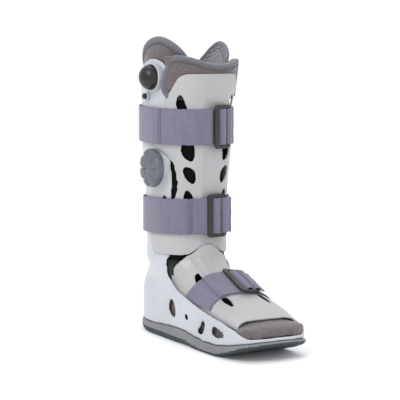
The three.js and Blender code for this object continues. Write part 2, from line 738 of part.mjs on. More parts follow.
function makeTongue() {
  const share = (height) => (height > cellTop ? 1 : 0);
  const outside = (height) => mix(linerOuter, tongueOuter(height), share(height));
  const inside = (height) => mix(linerInner, gap, share(height));
  const split = linerFront * heelReach - gap;
  const bottom = panelBottom + tongueRise;
  const ahead = prism([[-far, bottom], [-far, far], [split, far], [split, bottom]], 'x', -far, far);
  const pad = sleeve(outside, inside).intersect(ahead);
  const edge = sideView(tongueEdge, 24);
  const sideFlaps = prism([[-far, edge[0][1]], ...edge, [-far, edge[edge.length - 1][1]]], 'x', -far, far);
  const flap = sleeve((height) => Math.max(tongueOuter(height), 2 * gap), () => gap).intersect(sideFlaps);
  const top = smooth(tongueTop.map((row) => [row.x * calfHalf, row.z * shellHeight]), 20);
  const below = prism([[-far, 0], [-far, top[0][1]], ...top, [far, top[top.length - 1][1]], [far, 0]], 'y',
    -far, far);
  return mainBody(pad.add(flap).intersect(below));
}

function toeArch(along, turn, rise) {
  const y = heelReach - along * footLength;
  const crest = column(toeRows, 'along', 'up', along) * footTop;
  const angle = turn * (Math.PI / 2);
  const half = widthAt(y, footTop, -wall) - 2 * gap;
  const fall = column(toeRows, 'along', 'drop', along) * footTop * (1 - Math.cos(angle) ** 0.8);
  return [half * Math.sin(angle), y, crest - fall + rise];
}
const toePlate = (low, high) => plate(toeArch, steps(toeRows[0].along, toeRows[toeRows.length - 1].along, 9),
  steps(-1, 1, 8), low, high);
const makeToeCover = () => mainBody(toePlate(-toeCoverThickness, 0).subtract(instepRoom()));
const toeRoom = () => toePlate(-toeCoverThickness - gap, gap);

// The leg widens upwards, so the top edge sets a strap's size; it lies closer
// to the shell behind the front panel
function strapRing(strap, extra) {
  const [front, back] = [strap.lift, strap.backLift]
    .map((lift) => outline(strap.middle + strapWidth / 2, lift + extra));
  return front.map(([x, y], i) => {
    const share = ease((y - calfMiddle - strapBend) / calfHalf);
    return [mix(x, back[i][0], share), mix(y, back[i][1], share)];
  });
}

// A strap round the leg: a band of webbing pulled straight
function makeLegStrap(strap) {
  const band = (extra, spare) => loft([-1, 1].map((end) => {
    const height = strap.middle + end * (strapWidth / 2 + spare);
    return strapRing(strap, extra).map(([x, y]) => [x, y, height + strap.tilt * y]);
  }));
  return band(webbing, 0).subtract(band(0, 1));
}

const footStrap = () => plate(instep, strapStations, instepTurns.slice(1, -1), gap, gap + webbing);

// A three bar buckle lying in the XY plane, its length along Y
function makeBuckle() {
  const [w, l] = [buckleWidth / 2, buckleLength / 2];
  const corners = [[1, 1], [-1, 1], [-1, -1], [1, -1]];
  const edge = corners.flatMap(([a, b], k) => steps(0, 1, 3).map((share) => {
    const turn = (Math.PI / 2) * (k + share);
    return [a * (w - buckleCorner) + buckleCorner * Math.cos(turn),
      b * (l - buckleCorner) + buckleCorner * Math.sin(turn)];
  }));
  const slot = (buckleWidth - buckleWideBar - 2 * buckleBar) / 2;
  const end = l - buckleBar;
  let frame = prism(edge, 'z', 0, buckleThickness);
  for (const start of [-w + buckleWideBar, w - buckleBar - slot]) {
    const hole = [[start, -end], [start + slot, -end], [start + slot, end], [start, end]];
    frame = frame.subtract(prism(hole, 'z', -1, buckleThickness + 1));
  }
  return frame;
}

// Turned shape about +Z from a profile of radius and height, with petals
// pressed into its rim and crown
function makeDial() {
  const profile = [
    { r: 0.96, h: 0, dip: 0 },
    { r: 1, h: 0.12, dip: 0.02 },
    { r: 1, h: 0.52, dip: 0.03 },
    { r: 0.9, h: 0.72, dip: 0.05 },
    { r: 0.72, h: 0.88, dip: 0.04 },
    { r: 0.42, h: 0.97, dip: 0 },
    { r: 0.16, h: 1, dip: 0 },
  ];
  const count = dialPetals * 4;
  const rings = profile.map(({ r, h, dip }) => Array.from({ length: count }, (_, i) => {
    const turn = (2 * Math.PI * i) / count;
    const press = Math.abs(Math.cos((turn * dialPetals) / 2)) ** 6 * dip;
    const reach = dialRadius * (r - press);
    const height = h > 0.6 ? h * dialCrown * (1 - press) : (h / 0.52) * dialRim;
    return [reach * Math.sin(turn), reach * Math.cos(turn), Math.min(height, dialCrown)];
  }));
  return loft(rings);
}

// The pump bulb and the release valve, as profiles of radius and height
function turned(profile, count) {
  const points = profile.map(([r, h]) => new THREE.Vector2(r, h));
  const geometry = new THREE.LatheGeometry(points, count);
  return solid(geometry.rotateX(Math.PI / 2));
}
const bulbProfile = () => [[0, 0], [bulbRadius * 0.95, 0],
  ...steps(0.1, Math.PI / 2, 6).map((turn) => [bulbRadius * Math.cos(turn), bulbRadius * Math.sin(turn)])];
const valveProfile = () => [[0, 0], [valveRadius, 0], [valveRadius, valveReach * 0.8],
  [valveRadius * 0.8, valveReach], [0, valveReach]];

// A ring seat on the pump side, its back shaped to the shell
function makeSeat(radius, y, z) {
  const shellBody = loft(levels.slice(1).map((height) => ring(height, gap)));
  return disc(radius, calfHalf * discRoot, seatFace, y, z, 20).subtract(shellBody);
}

// Materials
const finish = (color, roughness) => new THREE.MeshStandardMaterial({ color, roughness, metalness: 0 });
const shellPlastic = finish('#d9dce2', 0.38);
const panelPlastic = finish('#cfd1d3', 0.42);
const felt = finish('#8f8688', 0.95);
const strapCloth = finish('#8a86a0', 0.85);
const rubber = finish('#a8a6a6', 0.7);
const bucklePlastic = finish('#3a352f', 0.5);
const blackRubber = finish('#101012', 0.25);
const blackCell = finish('#0b0b0c', 0.8);
const dialPlastic = finish('#7c7c84', 0.45);

const boot = new THREE.Group();
boot.position.z = treadDepth;

// The foot turns out a little in front of the ankle, and its toe end is skewed
function swing([x, y]) {
  const share = ease((alongFoot(y) - 0.4) / 0.6);
  return [x + toeSwing * share, y - toeSkew * share * x];
}

function show(name, shape, material, place) {
  const turnedOut = place ? shape : shape.warp((point) => {
    [point[0], point[1]] = swing(point);
  });
  const found = turnedOut.getMesh();
  const geometry = new THREE.BufferGeometry();
  geometry.setAttribute('position', new THREE.BufferAttribute(found.vertProperties, 3));
  geometry.setIndex(new THREE.BufferAttribute(found.triVerts, 1));
  geometry.computeVertexNormals();
  const mesh = new THREE.Mesh(geometry, material);
  mesh.name = name;
  if (place) mesh.applyMatrix4(place);
  boot.add(mesh);
}

// A place whose local +Z points along out, with +X across
function facing(at, out, across) {
  const z = new THREE.Vector3(...out).normalize();
  const y = new THREE.Vector3().crossVectors(z, new THREE.Vector3(...across)).normalize();
  const x = new THREE.Vector3().crossVectors(y, z);
  return new THREE.Matrix4().makeBasis(x, y, z).setPosition(...at);
}

// A buckle flat on a leg strap, turned round the leg from the front
function legBuckle(strap, turn) {
  const shape = strapRing(strap, webbing + gap);
  const angle = ([x, y]) => Math.atan2(x, calfMiddle - y);
  const start = shape.findIndex((p, i) => angle(p) >= radians(turn)
    && angle(shape[(i + 1) % sides]) < radians(turn));
  const [a, b] = [shape[start], shape[start + 1]];
  const share = (angle(a) - radians(turn)) / (angle(a) - angle(b));
  const [x, y] = [mix(a[0], b[0], share), mix(a[1], b[1], share)];
  const across = [a[0] - b[0], a[1] - b[1], 0];
  return facing([x, y, strap.middle + strap.tilt * y], [across[1], -across[0], 0], across);
}

// The foot strap's buckle, resting on the strap right of the crest
function footBuckle() {
  const along = strapStations[2];
  const [turn, rise, small] = [0.14, 2 * gap + webbing, 0.02];
  const at = new THREE.Vector3(...instep(along, turn, rise));
  const ahead = new THREE.Vector3(...instep(along + small, turn, rise)).sub(at);
  const across = new THREE.Vector3(...instep(along, turn + small, rise)).sub(at);
  const out = new THREE.Vector3().crossVectors(ahead, across).normalize();
  if (out.z < 0) out.negate();
  [at.x, at.y] = swing([at.x, at.y]);
  return facing(at.addScaledVector(out, footBuckleLift).toArray(), out.toArray(), across.normalize().toArray());
}

const pumpSide = (x, y, z) => facing([-x, y, z], [-1, 0, 0], [0, -1, 0]);

show('rear_shell', makeShell(), shellPlastic);
show('front_panel', makeFrontPanel(), panelPlastic);
show('foot_panel', makeInstepPanel(), panelPlastic);
show('outsole', makeOutsole(), rubber);
show('front_air_cell', makeAirCell(), blackCell);
show('liner_boot', makeLiner(), felt);
show('liner_tongue', makeTongue(), felt);
show('toe_cover', makeToeCover(), felt);
show('strap_upper', makeLegStrap(upperStrap), strapCloth);
show('strap_lower', makeLegStrap(lowerStrap), strapCloth);
show('strap_foot', footStrap(), strapCloth);
show('buckle_upper', makeBuckle(), bucklePlastic, legBuckle(upperStrap, upperBuckleTurn));
show('buckle_lower', makeBuckle(), bucklePlastic, legBuckle(lowerStrap, lowerBuckleTurn));
show('buckle_foot', makeBuckle(), bucklePlastic, footBuckle());
show('bulb_seat', makeSeat(bulbRadius + seatRim, -bulbForward, bulbHeight), shellPlastic);
show('inflation_bulb', turned(bulbProfile(), 20), blackRubber,
  pumpSide(seatFace + gap, -bulbForward, bulbHeight));
const valveHole = disc(valveRadius + gap, seatFace - valvePocket, seatFace + gap, valveBack, valveHeight);
show('valve_collar', makeSeat(collarRadius, valveBack, valveHeight).subtract(valveHole), shellPlastic);
show('release_valve', turned(valveProfile(), 12), blackRubber,
  pumpSide(seatFace - valvePocket + valveTravel + gap, valveBack, valveHeight));
show('selector_dial', makeDial(), dialPlastic, pumpSide(dialFace + gap, -dialForward, dialHeight));

export default boot;
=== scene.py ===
# %% [markdown]
# A tall walking boot, dressed for a render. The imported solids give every
# size and place; this script gives them their moulded, woven and padded looks.

# %% Load the frame
import math

import bpy
import numpy as np
from mathutils import Matrix, Vector


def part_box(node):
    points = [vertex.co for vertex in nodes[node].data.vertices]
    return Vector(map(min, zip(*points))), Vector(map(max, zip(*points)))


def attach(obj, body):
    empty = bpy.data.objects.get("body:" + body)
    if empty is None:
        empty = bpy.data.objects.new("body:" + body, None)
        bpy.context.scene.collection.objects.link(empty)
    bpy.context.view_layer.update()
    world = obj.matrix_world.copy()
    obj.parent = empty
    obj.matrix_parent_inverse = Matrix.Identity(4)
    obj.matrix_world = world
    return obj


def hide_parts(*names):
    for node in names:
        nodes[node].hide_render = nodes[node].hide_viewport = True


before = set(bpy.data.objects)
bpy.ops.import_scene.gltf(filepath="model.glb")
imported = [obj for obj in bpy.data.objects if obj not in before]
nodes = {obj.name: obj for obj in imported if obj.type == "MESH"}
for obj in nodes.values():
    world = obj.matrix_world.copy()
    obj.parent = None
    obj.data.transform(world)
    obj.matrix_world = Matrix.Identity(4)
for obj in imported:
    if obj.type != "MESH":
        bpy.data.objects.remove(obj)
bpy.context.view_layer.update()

MM = 0.001
print("frame:", len(nodes), "nodes")

# %% [markdown]
# The boot's walls follow one family of outlines: a rounded foot below, an
# oval leg above, and a blend at the ankle. The solids are lofted through few
# points of it. The same outlines are worked out here at full smoothness, so
# that a refined wall can be moved onto the true curve.

# %% Sizes of the boot, in millimetres over the sole
SHELL, FOOT_LENGTH, HEEL, FOOT_WIDTH = 394, 309, 86, 112
CALF_WIDTH, CALF_DEPTH, MIDDLE = 123, 134, 7
ANKLE_TOP, FOOT_TOP, TREAD = 114, 56, 3.5
TOE_SWING, TOE_SKEW = 6, 0.06
WALL, GAP, WEBBING, PADDING = 2.6, 0.3, 1.8, 6
UPPER_STRAP, PANEL_TOP = 0.7614, 0.9467
STRAP_WIDTH, STRAP_BEND = 50, 8
LEG_POWER, HEEL_POWER, TOE_POWER, HEEL_CENTRE = 2.15, 2.3, 8, 0.28
SIDES = 28
LEVELS = [34.7, 56, 70.5, 85, 99.5, 114, 144, 200, 240, 272, 328, 347, 364, 373, 397.9, 426.2]

LEG_WIDE = [(0.28, 0.88), (0.38, 0.86), (0.5, 0.88), (0.6, 0.92), (0.7, 0.965), (0.85, 0.975), (1, 1),
            (1.08, 1.01)]
LEG_DEEP = [(0.28, 0.88), (0.38, 0.87), (0.5, 0.9), (0.6, 0.94), (0.7, 0.965), (0.85, 0.975), (1, 1),
            (1.08, 1.01)]
FOOT_WIDE = [(0, 0.82), (0.2, 0.86), (0.45, 0.89), (0.62, 0.96), (0.76, 1), (0.9, 1), (1, 0.98)]
FLARE = [(-6, 0), (-1, 0.02), (0.08, 0.17), (0.5, 0.85), (1.03, 1.5), (1.52, 2.05), (2.1, 2.3)]
EAR_INSET, EAR_SPLAY = -9, 6
EAR_SPREAD = [(0.95, 0), (1.01, 0.5), (1.08, 1)]


# %% Curves through short tables
def lengths(path):
    """How far along a path each of its points lies."""
    return np.concatenate([[0], np.cumsum(np.linalg.norm(np.diff(path, axis=0), axis=1))])


def through(a, b, c, d, t):
    """A smooth step from b to c, with a and d as the points beside them."""
    return 0.5 * (2 * b + (c - a) * t + (2 * a - 5 * b + 4 * c - d) * t ** 2
                  + (3 * b - a - 3 * c + d) * t ** 3)


def column(rows, at):
    """A smooth value at a place, through a table of (place, value)."""
    if at <= rows[0][0]:
        return rows[0][1]
    if at >= rows[-1][0]:
        return rows[-1][1]
    i = max(k for k in range(len(rows)) if rows[k][0] <= at)

    def slope(k):
        a, b = rows[max(k - 1, 0)], rows[min(k + 1, len(rows) - 1)]
        return (b[1] - a[1]) / (b[0] - a[0])

    a, b = rows[i], rows[i + 1]
    span = b[0] - a[0]
    t = (at - a[0]) / span
    s = 1 - t
    return (s * s * (1 + 2 * t) * a[1] + t * t * (1 + 2 * s) * b[1]
            + s * s * t * span * slope(i) - t * t * s * span * slope(i + 1))


def ease(share):
    share = np.clip(share, 0, 1)
    return share * share * (3 - 2 * share)


def mix(a, b, share):
    return a + (b - a) * share


def along_foot(y):
    return (HEEL - y) / FOOT_LENGTH


# %% Outlines of the shell from above
def leg_point(turn, height, grow):
    """A point of the leg's oval; turn 0 is the back and pi the front."""
    up = height / SHELL
    half_width = column(LEG_WIDE, up) * CALF_WIDTH / 2 + grow
    half_depth = column(LEG_DEEP, up) * CALF_DEPTH / 2 + grow
    s, c = np.sin(turn), np.cos(turn)
    power = 2 / LEG_POWER
    x = np.sign(s) * half_width * np.abs(s) ** power
    y = MIDDLE + np.sign(c) * half_depth * np.abs(c) ** power
    return np.stack([x, y, np.full_like(x, height)], -1)


def foot_outline():
    heel_centre = HEEL * HEEL_CENTRE
    half = []
    for turn in np.linspace(0, math.pi, 121):
        s, c = math.sin(turn), math.cos(turn)
        front = c < -1e-12
        power = 2 / (TOE_POWER if front else HEEL_POWER)
        reach = heel_centre - (HEEL - FOOT_LENGTH) if front else HEEL - heel_centre
        y = heel_centre + math.copysign(1, c) * reach * abs(c) ** power
        wide = column(FOOT_WIDE, along_foot(y)) * FOOT_WIDTH / 2
        half.append((wide * max(s, 0) ** power, y))
    half = np.array(half)
    length = lengths(half)
    steps = np.linspace(0, length[-1], SIDES // 2 + 1)
    right = np.stack([np.interp(steps, length, half[:, k]) for k in (0, 1)], 1)
    right[0, 0] = right[-1, 0] = 0
    left = right[1:-1][::-1] * [-1, 1]
    return np.concatenate([right, left])


FOOT_OUTLINE = foot_outline()


def outline(height, grow=0):
    share = ease((height - FOOT_TOP) / (ANKLE_TOP - FOOT_TOP))
    leg = leg_point(np.arange(SIDES) * 2 * math.pi / SIDES, height, grow)[:, :2]
    return mix(FOOT_OUTLINE, leg, share)


def swing(points):
    """The foot turns out a little towards the toes."""
    out = np.array(points, float)
    share = ease((along_foot(out[:, 1]) - 0.4) / 0.6)
    x = out[:, 0].copy()
    out[:, 0] += TOE_SWING * share
    out[:, 1] -= TOE_SKEW * share * x
    return out


def unswing(points):
    """The same turn taken back."""
    start = np.array(points, float)
    for _ in range(6):
        start += points - swing(start)
    return start


print("outline:", SIDES, "points, foot", round(float(np.ptp(FOOT_OUTLINE[:, 1]))), "mm long")

# %% [markdown]
# A moulded wall starts as a copy of its solid. A voxel remesh gives it an even
# net of small faces, a few rounds of smoothing break its edges as a mould
# does, and then each point moves from the faceted wall to the true outline.
# Rebuilding each wall by hand would give the same surface with far more work.


# %% Helpers to pick, copy and refine a piece
def only(obj):
    bpy.ops.object.select_all(action="DESELECT")
    obj.select_set(True)
    bpy.context.view_layer.objects.active = obj


def apply_modifier(obj, kind, **settings):
    only(obj)
    modifier = obj.modifiers.new(kind.title(), kind)
    for key, value in settings.items():
        setattr(modifier, key, value)
    bpy.ops.object.modifier_apply(modifier=modifier.name)


def edit_all(obj, operator, **settings):
    """Runs one operator in edit mode on the whole of an object."""
    only(obj)
    bpy.ops.object.mode_set(mode="EDIT")
    bpy.ops.mesh.select_all(action="SELECT")
    operator(**settings)
    bpy.ops.object.mode_set(mode="OBJECT")


def outward(obj):
    edit_all(obj, bpy.ops.mesh.normals_make_consistent, inside=False)


def join_all(pieces):
    """Joins objects into the first of them."""
    bpy.ops.object.select_all(action="DESELECT")
    for piece in pieces:
        piece.select_set(True)
    bpy.context.view_layer.objects.active = pieces[0]
    bpy.ops.object.join()
    return pieces[0]


def copy_node(node, name):
    """A copy of a solid, without its material and with its loose triangles merged."""
    obj = bpy.data.objects.new(name, nodes[node].data.copy())
    bpy.context.collection.objects.link(obj)
    obj.data.materials.clear()
    edit_all(obj, bpy.ops.mesh.remove_doubles, threshold=1e-6)
    return obj


def read(items, value, width, kind=float):
    """One value of every point, edge or corner, as the rows of an array."""
    flat = np.empty(len(items) * width, kind)
    items.foreach_get(value, flat)
    return flat.reshape(-1, width)


def get_points(mesh):
    return read(mesh.vertices, "co", 3) / MM


def set_points(mesh, points):
    mesh.vertices.foreach_set("co", (points * MM).ravel())
    mesh.update()


def get_normals(mesh):
    return read(mesh.vertex_normals, "vector", 3)


def get_edges(mesh):
    return read(mesh.edges, "vertices", 2, np.int32)


def pull(points, edges):
    """How far each point is from the middle of its neighbours."""
    n = len(points)
    count = np.maximum(np.bincount(edges.ravel(), minlength=n), 1)
    total = np.empty_like(points)
    for k in range(points.shape[1]):
        total[:, k] = (np.bincount(edges[:, 0], points[edges[:, 1], k], n)
                       + np.bincount(edges[:, 1], points[edges[:, 0], k], n))
    return total / count[:, None] - points


def soften(obj, rounds, strength=0.5, keep=None):
    """Rounds of smoothing; keep is the share of it that each point is spared."""
    points, edges = get_points(obj.data), get_edges(obj.data)
    share = strength if keep is None else strength * (1 - keep)[:, None]
    for _ in range(rounds):
        points = points + share * pull(points, edges)
    set_points(obj.data, points)


def flow(obj, rounds, limit=0.9):
    """Takes the facets out of a wall and leaves its rims where they are."""
    mesh = obj.data
    points, edges, normals = get_points(mesh), get_edges(mesh), get_normals(mesh)
    smooth, broad = points.copy(), normals.copy()
    for _ in range(rounds):
        smooth += 0.5 * pull(smooth, edges)
        smooth -= 0.505 * pull(smooth, edges)
        broad += 0.5 * pull(broad, edges)
    broad /= np.linalg.norm(broad, axis=1)[:, None] + 1e-9
    flat = ease(((broad * normals).sum(1) - 0.93) / 0.05)[:, None]
    for _ in range(6):
        flat += 0.5 * pull(flat, edges)
    shift = np.clip(((smooth - points) * normals).sum(1), -limit, limit)
    set_points(mesh, points + normals * shift[:, None] * flat)


def ring_table(heights):
    return np.array([outline(height) for height in heights])


def blend_rings(table, heights, at):
    i = np.clip(np.searchsorted(heights, at) - 1, 0, len(heights) - 2)
    t = np.clip((at - heights[i]) / (heights[i + 1] - heights[i]), 0, 1)
    return table[i] + (table[i + 1] - table[i]) * t[:, None, None]


def true_curve(obj):
    """Moves a wall's points from the solid's straight sides to the smooth outline."""
    points = unswing(get_points(obj.data))
    height = points[:, 2] - TREAD
    coarse, fine = np.array(LEVELS), np.linspace(LEVELS[0], LEVELS[-1], 140)
    faceted = blend_rings(ring_table(coarse), coarse, height)
    smooth = blend_rings(ring_table(fine), fine, height)
    side = np.roll(faceted, -1, 1) - faceted
    away = points[:, None, :2] - faceted
    t = np.clip((away * side).sum(2) / (side * side).sum(2), 0, 1)
    gap = np.linalg.norm(away - side * t[:, :, None], axis=2)
    best = gap.argmin(1)
    rows = np.arange(len(points))
    t = t[rows, best][:, None]
    chord = faceted[rows, best] + side[rows, best] * t
    a, b, c, d = (smooth[rows, (best + k) % SIDES] for k in (-1, 0, 1, 2))
    points[:, :2] += through(a, b, c, d, t) - chord
    set_points(obj.data, swing(points))


def moulded(node, name, voxel, rounds=3, curved=True, facets=0):
    """A refined copy of a solid, with smooth walls and broken edges."""
    obj = copy_node(node, name)
    apply_modifier(obj, "REMESH", mode="VOXEL", voxel_size=voxel * MM)
    soften(obj, rounds)
    if curved:
        true_curve(obj)
    if facets:
        flow(obj, facets)
    bpy.ops.object.shade_smooth()
    print(name, len(obj.data.polygons), "faces")
    return obj


def trim(obj, slot, *materials, body="boot"):
    """Gives a piece its materials and its body; slot is not used."""
    for material in materials:
        obj.data.materials.append(material)
    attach(obj, body)


def stand_for(obj, node, slot, *materials, body="boot"):
    """Does the same for a piece that takes a solid's place."""
    trim(obj, slot, *materials, body=body)
    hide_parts(node)


# %% [markdown]
# Materials come next. Each one is procedural: noise on the object's own
# coordinates for plastic, rubber and felt, and the piece's own UV map where a
# weave has to follow a strap.


# %% Material helpers
def colour(code):
    """A colour written as in a paint chart, made linear for the shader."""
    parts = [int(code[i:i + 2], 16) / 255 for i in (1, 3, 5)]
    return [c / 12.92 if c <= 0.04045 else ((c + 0.055) / 1.055) ** 2.4 for c in parts] + [1]


class Finish:
    """A material with one shader, and short ways to add nodes to it."""

    def __init__(self, name, rough, sheen=0, coat=0):
        self.material = bpy.data.materials.new(name)
        self.material.use_nodes = True
        self.tree = self.material.node_tree
        self.shader = self.tree.nodes["Principled BSDF"]
        self.shader.inputs["Roughness"].default_value = rough
        self.shader.inputs["Sheen Weight"].default_value = sheen
        self.shader.inputs["Sheen Roughness"].default_value = 0.5
        self.shader.inputs["Coat Weight"].default_value = coat
        self.shader.inputs["Coat Roughness"].default_value = 0.25
        self.place = self.node("ShaderNodeTexCoord").outputs["Object"]

    def node(self, kind, **settings):
        made = self.tree.nodes.new(kind)
        for key, value in settings.items():
            setattr(made, key, value)
        return made

    def link(self, a, b):
        self.tree.links.new(a, b)

    def use_uv(self):
        self.place = self.node("ShaderNodeTexCoord").outputs["UV"]

    def stretched(self, scale, turn=0):
        mapping = self.node("ShaderNodeMapping")
        self.link(self.place, mapping.inputs["Vector"])
        mapping.inputs["Scale"].default_value = scale
        mapping.inputs["Rotation"].default_value = (0, 0, turn)
        return mapping.outputs["Vector"]

    def noise(self, scale, detail=3, place=None):
        made = self.node("ShaderNodeTexNoise")
        self.link(place or self.place, made.inputs["Vector"])
        made.inputs["Scale"].default_value = scale
        made.inputs["Detail"].default_value = detail
        return made.outputs["Fac"]

    def ramp(self, value, stops):
        made = self.node("ShaderNodeValToRGB")
        while len(made.color_ramp.elements) < len(stops):
            made.color_ramp.elements.new(0.5)
        for element, (at, tint) in zip(made.color_ramp.elements, stops):
            element.position = at
            element.color = tint
        self.link(value, made.inputs["Fac"])
        return made.outputs["Color"]

    def tints(self, value, low, high, start=0.3, stop=0.7):
        return self.ramp(value, [(start, colour(low)), (stop, colour(high))])

    def greys(self, value, low, high, start=0.3, stop=0.7):
        return self.ramp(value, [(start, [low] * 3 + [1]), (stop, [high] * 3 + [1])])

    def blend(self, fac, a, b, how="MIX"):
        made = self.node("ShaderNodeMix", data_type="RGBA", blend_type=how)
        if isinstance(fac, float):
            made.inputs["Factor"].default_value = fac
        else:
            self.link(fac, made.inputs["Factor"])
        self.link(a, made.inputs["A"])
        self.link(b, made.inputs["B"])
        return made.outputs["Result"]

    def paint(self, tint):
        self.link(tint, self.shader.inputs["Base Color"])

    def gloss(self, value):
        self.link(value, self.shader.inputs["Roughness"])

    def relief(self, *layers):
        """Bumps on top of each other: each is a height and its depth in mm."""
        last = None
        for height, depth in layers:
            bump = self.node("ShaderNodeBump")
            bump.inputs["Distance"].default_value = depth * MM
            self.link(height, bump.inputs["Height"])
            if last:
                self.link(last, bump.inputs["Normal"])
            last = bump.outputs["Normal"]
        self.link(last, self.shader.inputs["Normal"])


# %% Moulded plastics and rubbers
def plastic(name, low, high, rough, grain=0.02, coat=0.1):
    finish = Finish(name, rough, coat=coat)
    finish.paint(finish.tints(finish.noise(14, 4), low, high))
    finish.gloss(finish.greys(finish.noise(60, 5), rough - 0.05, rough + 0.08))
    finish.relief((finish.noise(1600, 2), grain), (finish.noise(45, 2), 0.12))
    return finish.material


shell_white = plastic("shell_white", "#aeb0b5", "#b6b8bd", 0.36)
# Painted shade: the panels are the same white plastic as the shell, painted darker because they face away
# from the key light.
panel_white_shaded = plastic("panel_white_shaded", "#9f9fa0", "#a7a7a8", 0.4)
sole_grey = plastic("sole_grey", "#717174", "#7c7c80", 0.62, 0.05, 0)
# Darker grey low on the sole; on faces that turn down it is painted shade.
low_band_and_shade_grey = plastic("low_band_and_shade_grey", "#2c313a", "#343942", 0.7, 0.06, 0)
buckle_brown = plastic("buckle_brown", "#18140f", "#211b17", 0.45, 0.03)
dial_grey = plastic("dial_grey", "#4e4f59", "#5b5c66", 0.42, 0.03)
hole_shade_dark = plastic("hole_shade_dark", "#2c2c31", "#38383d", 0.5)
bulb_black = plastic("bulb_black", "#030303", "#080809", 0.34, 0.02, 0)
bulb_black.node_tree.nodes["Principled BSDF"].inputs["Specular IOR Level"].default_value = 0.5


def film_material():
    """The air cell: thin black film, lightly quilted."""
    finish = Finish("cell_film", 0.6)
    finish.shader.inputs["Specular IOR Level"].default_value = 0.08
    finish.paint(finish.tints(finish.noise(30), "#030303", "#0a0a0b"))
    finish.relief((finish.noise(120, 2), 0.5))
    return finish.material


cell_film = film_material()


# %% [markdown]
# The liner is a brushed felt: soft, dull, with a short pile that catches light
# at grazing angles. Two sizes of noise give the pile and its clumps, and the
# sheen of the shader gives the soft glow along its curves. The inner face of
# the ears is a lighter striped lining, kept apart by an attribute.


# %% Felt, webbing and binding
def felt_material():
    finish = Finish("felt_pile", 0.95, sheen=0.35)
    pile = finish.noise(1000, 5)
    clumps = finish.noise(170, 4)
    base = finish.tints(clumps, "#534a4c", "#615859")
    fine = finish.tints(pile, "#383133", "#7f7677", 0.35, 0.65)
    tint = finish.blend(0.5, base, fine)
    stripes = finish.node("ShaderNodeTexWave", wave_type="BANDS", bands_direction="DIAGONAL")
    finish.link(finish.stretched((1, 1, 1), 0.4), stripes.inputs["Vector"])
    stripes.inputs["Scale"].default_value = 95
    stripes.inputs["Distortion"].default_value = 1.5
    lining = finish.tints(stripes.outputs["Fac"], "#736f71", "#908d8f", 0.35, 0.65)
    inside = finish.node("ShaderNodeAttribute", attribute_name="inside").outputs["Fac"]
    dark = finish.node("ShaderNodeAttribute", attribute_name="dark").outputs["Fac"]
    tint = finish.blend(inside, tint, lining)
    # Painted shade: where the dark attribute is set, felt lying in shade behind a panel is painted near
    # black.
    black = finish.tints(clumps, "#050506", "#0d0d0f")
    finish.paint(finish.blend(dark, tint, black))
    finish.relief((pile, 0.5), (clumps, 0.5))
    return finish.material


def webbing_material():
    """Brushed hook-and-loop webbing: a fine rib across, fuzz over it."""
    finish = Finish("strap_webbing", 0.85, sheen=0.3)
    finish.use_uv()
    ribs = finish.node("ShaderNodeTexWave", wave_type="BANDS", bands_direction="X")
    finish.link(finish.place, ribs.inputs["Vector"])
    ribs.inputs["Scale"].default_value = 330
    ribs.inputs["Distortion"].default_value = 2.5
    ribs.inputs["Detail"].default_value = 2
    fuzz = finish.noise(1300, 3, finish.stretched((1, 0.45, 1)))
    patches = finish.noise(45, 4)
    streaks = finish.noise(160, 3, finish.stretched((1, 0.12, 1)))
    base = finish.tints(patches, "#605b73", "#706b80", 0.35, 0.65)
    fine = finish.tints(fuzz, "#4e4961", "#858093", 0.35, 0.65)
    worn = finish.tints(streaks, "#59556b", "#797488", 0.35, 0.65)
    tint = finish.blend(0.4, finish.blend(0.4, base, worn), fine)
    finish.paint(finish.blend(0.2, tint, finish.tints(ribs.outputs["Fac"], "#423f57", "#918c9d")))
    finish.relief((ribs.outputs["Fac"], 0.16), (fuzz, 0.35))
    return finish.material


def binding_material():
    """Narrow woven tape: slanted ribs along its length."""
    finish = Finish("binding_tape", 0.8, sheen=0.2)
    finish.use_uv()
    ribs = finish.node("ShaderNodeTexWave", wave_type="BANDS", bands_direction="X")
    finish.link(finish.stretched((1, 1, 1), 0.5), ribs.inputs["Vector"])
    ribs.inputs["Scale"].default_value = 260
    finish.paint(finish.blend(0.35, finish.tints(finish.noise(80), "#5b5b66", "#696873"),
                              finish.tints(ribs.outputs["Fac"], "#474752", "#7e7d86")))
    finish.relief((ribs.outputs["Fac"], 0.25))
    return finish.material


felt = felt_material()
webbing = webbing_material()
binding = binding_material()
thread = plastic("thread_grey", "#333443", "#3e404f", 0.7, 0.02, 0)
print("materials:", len(bpy.data.materials))

# %% [markdown]
# The rear shell is one white moulding. Its solid has the right form, so it is
# refined: smooth walls, soft edges. The real mould leaves a shallow step
# round the oval hole and the toe windows, which is pressed in here.


# %% Rear shell
def press(obj, centre, radius, depth, face):
    """Presses a soft dish into a wall round a point, along a facing direction."""
    points, normals = get_points(obj.data), get_normals(obj.data)
    away = (points - centre) / radius
    share = ease(1.6 - np.linalg.norm(away, axis=1))[:, None]
    outer = ((normals @ np.array(face, float)) > 0.3)[:, None]
    set_points(obj.data, points - np.array(face, float) * depth * share * outer)


rear_shell = moulded("rear_shell", "shell_moulding", 2)
soften(rear_shell, 2)
DISHES = [
    {"place": (52, -37, 49), "radius": (18, 13, 15), "depth": 1.1},
    {"place": (55, -125, 32), "radius": (18, 14, 11), "depth": 0.8},
    {"place": (55, -162, 32), "radius": (18, 18, 10), "depth": 0.8},
]
for side in (-1, 1):
    for dish in DISHES:
        x, y, z = dish["place"]
        press(rear_shell, (side * x, y, z), dish["radius"], dish["depth"], (side, 0, 0))
stand_for(rear_shell, "rear_shell", "shell_plastic", shell_white)

# %% [markdown]
# The front panel wraps the shin. On the real boot its middle is a flat facet
# between two upright creases, which takes the light differently from its
# curved sides. The facet is made by easing the outer and inner wall inwards.
# The rims then get more rounds of smoothing than the faces. A point is on a
# rim where its normal turns away from the leg's own outward direction.


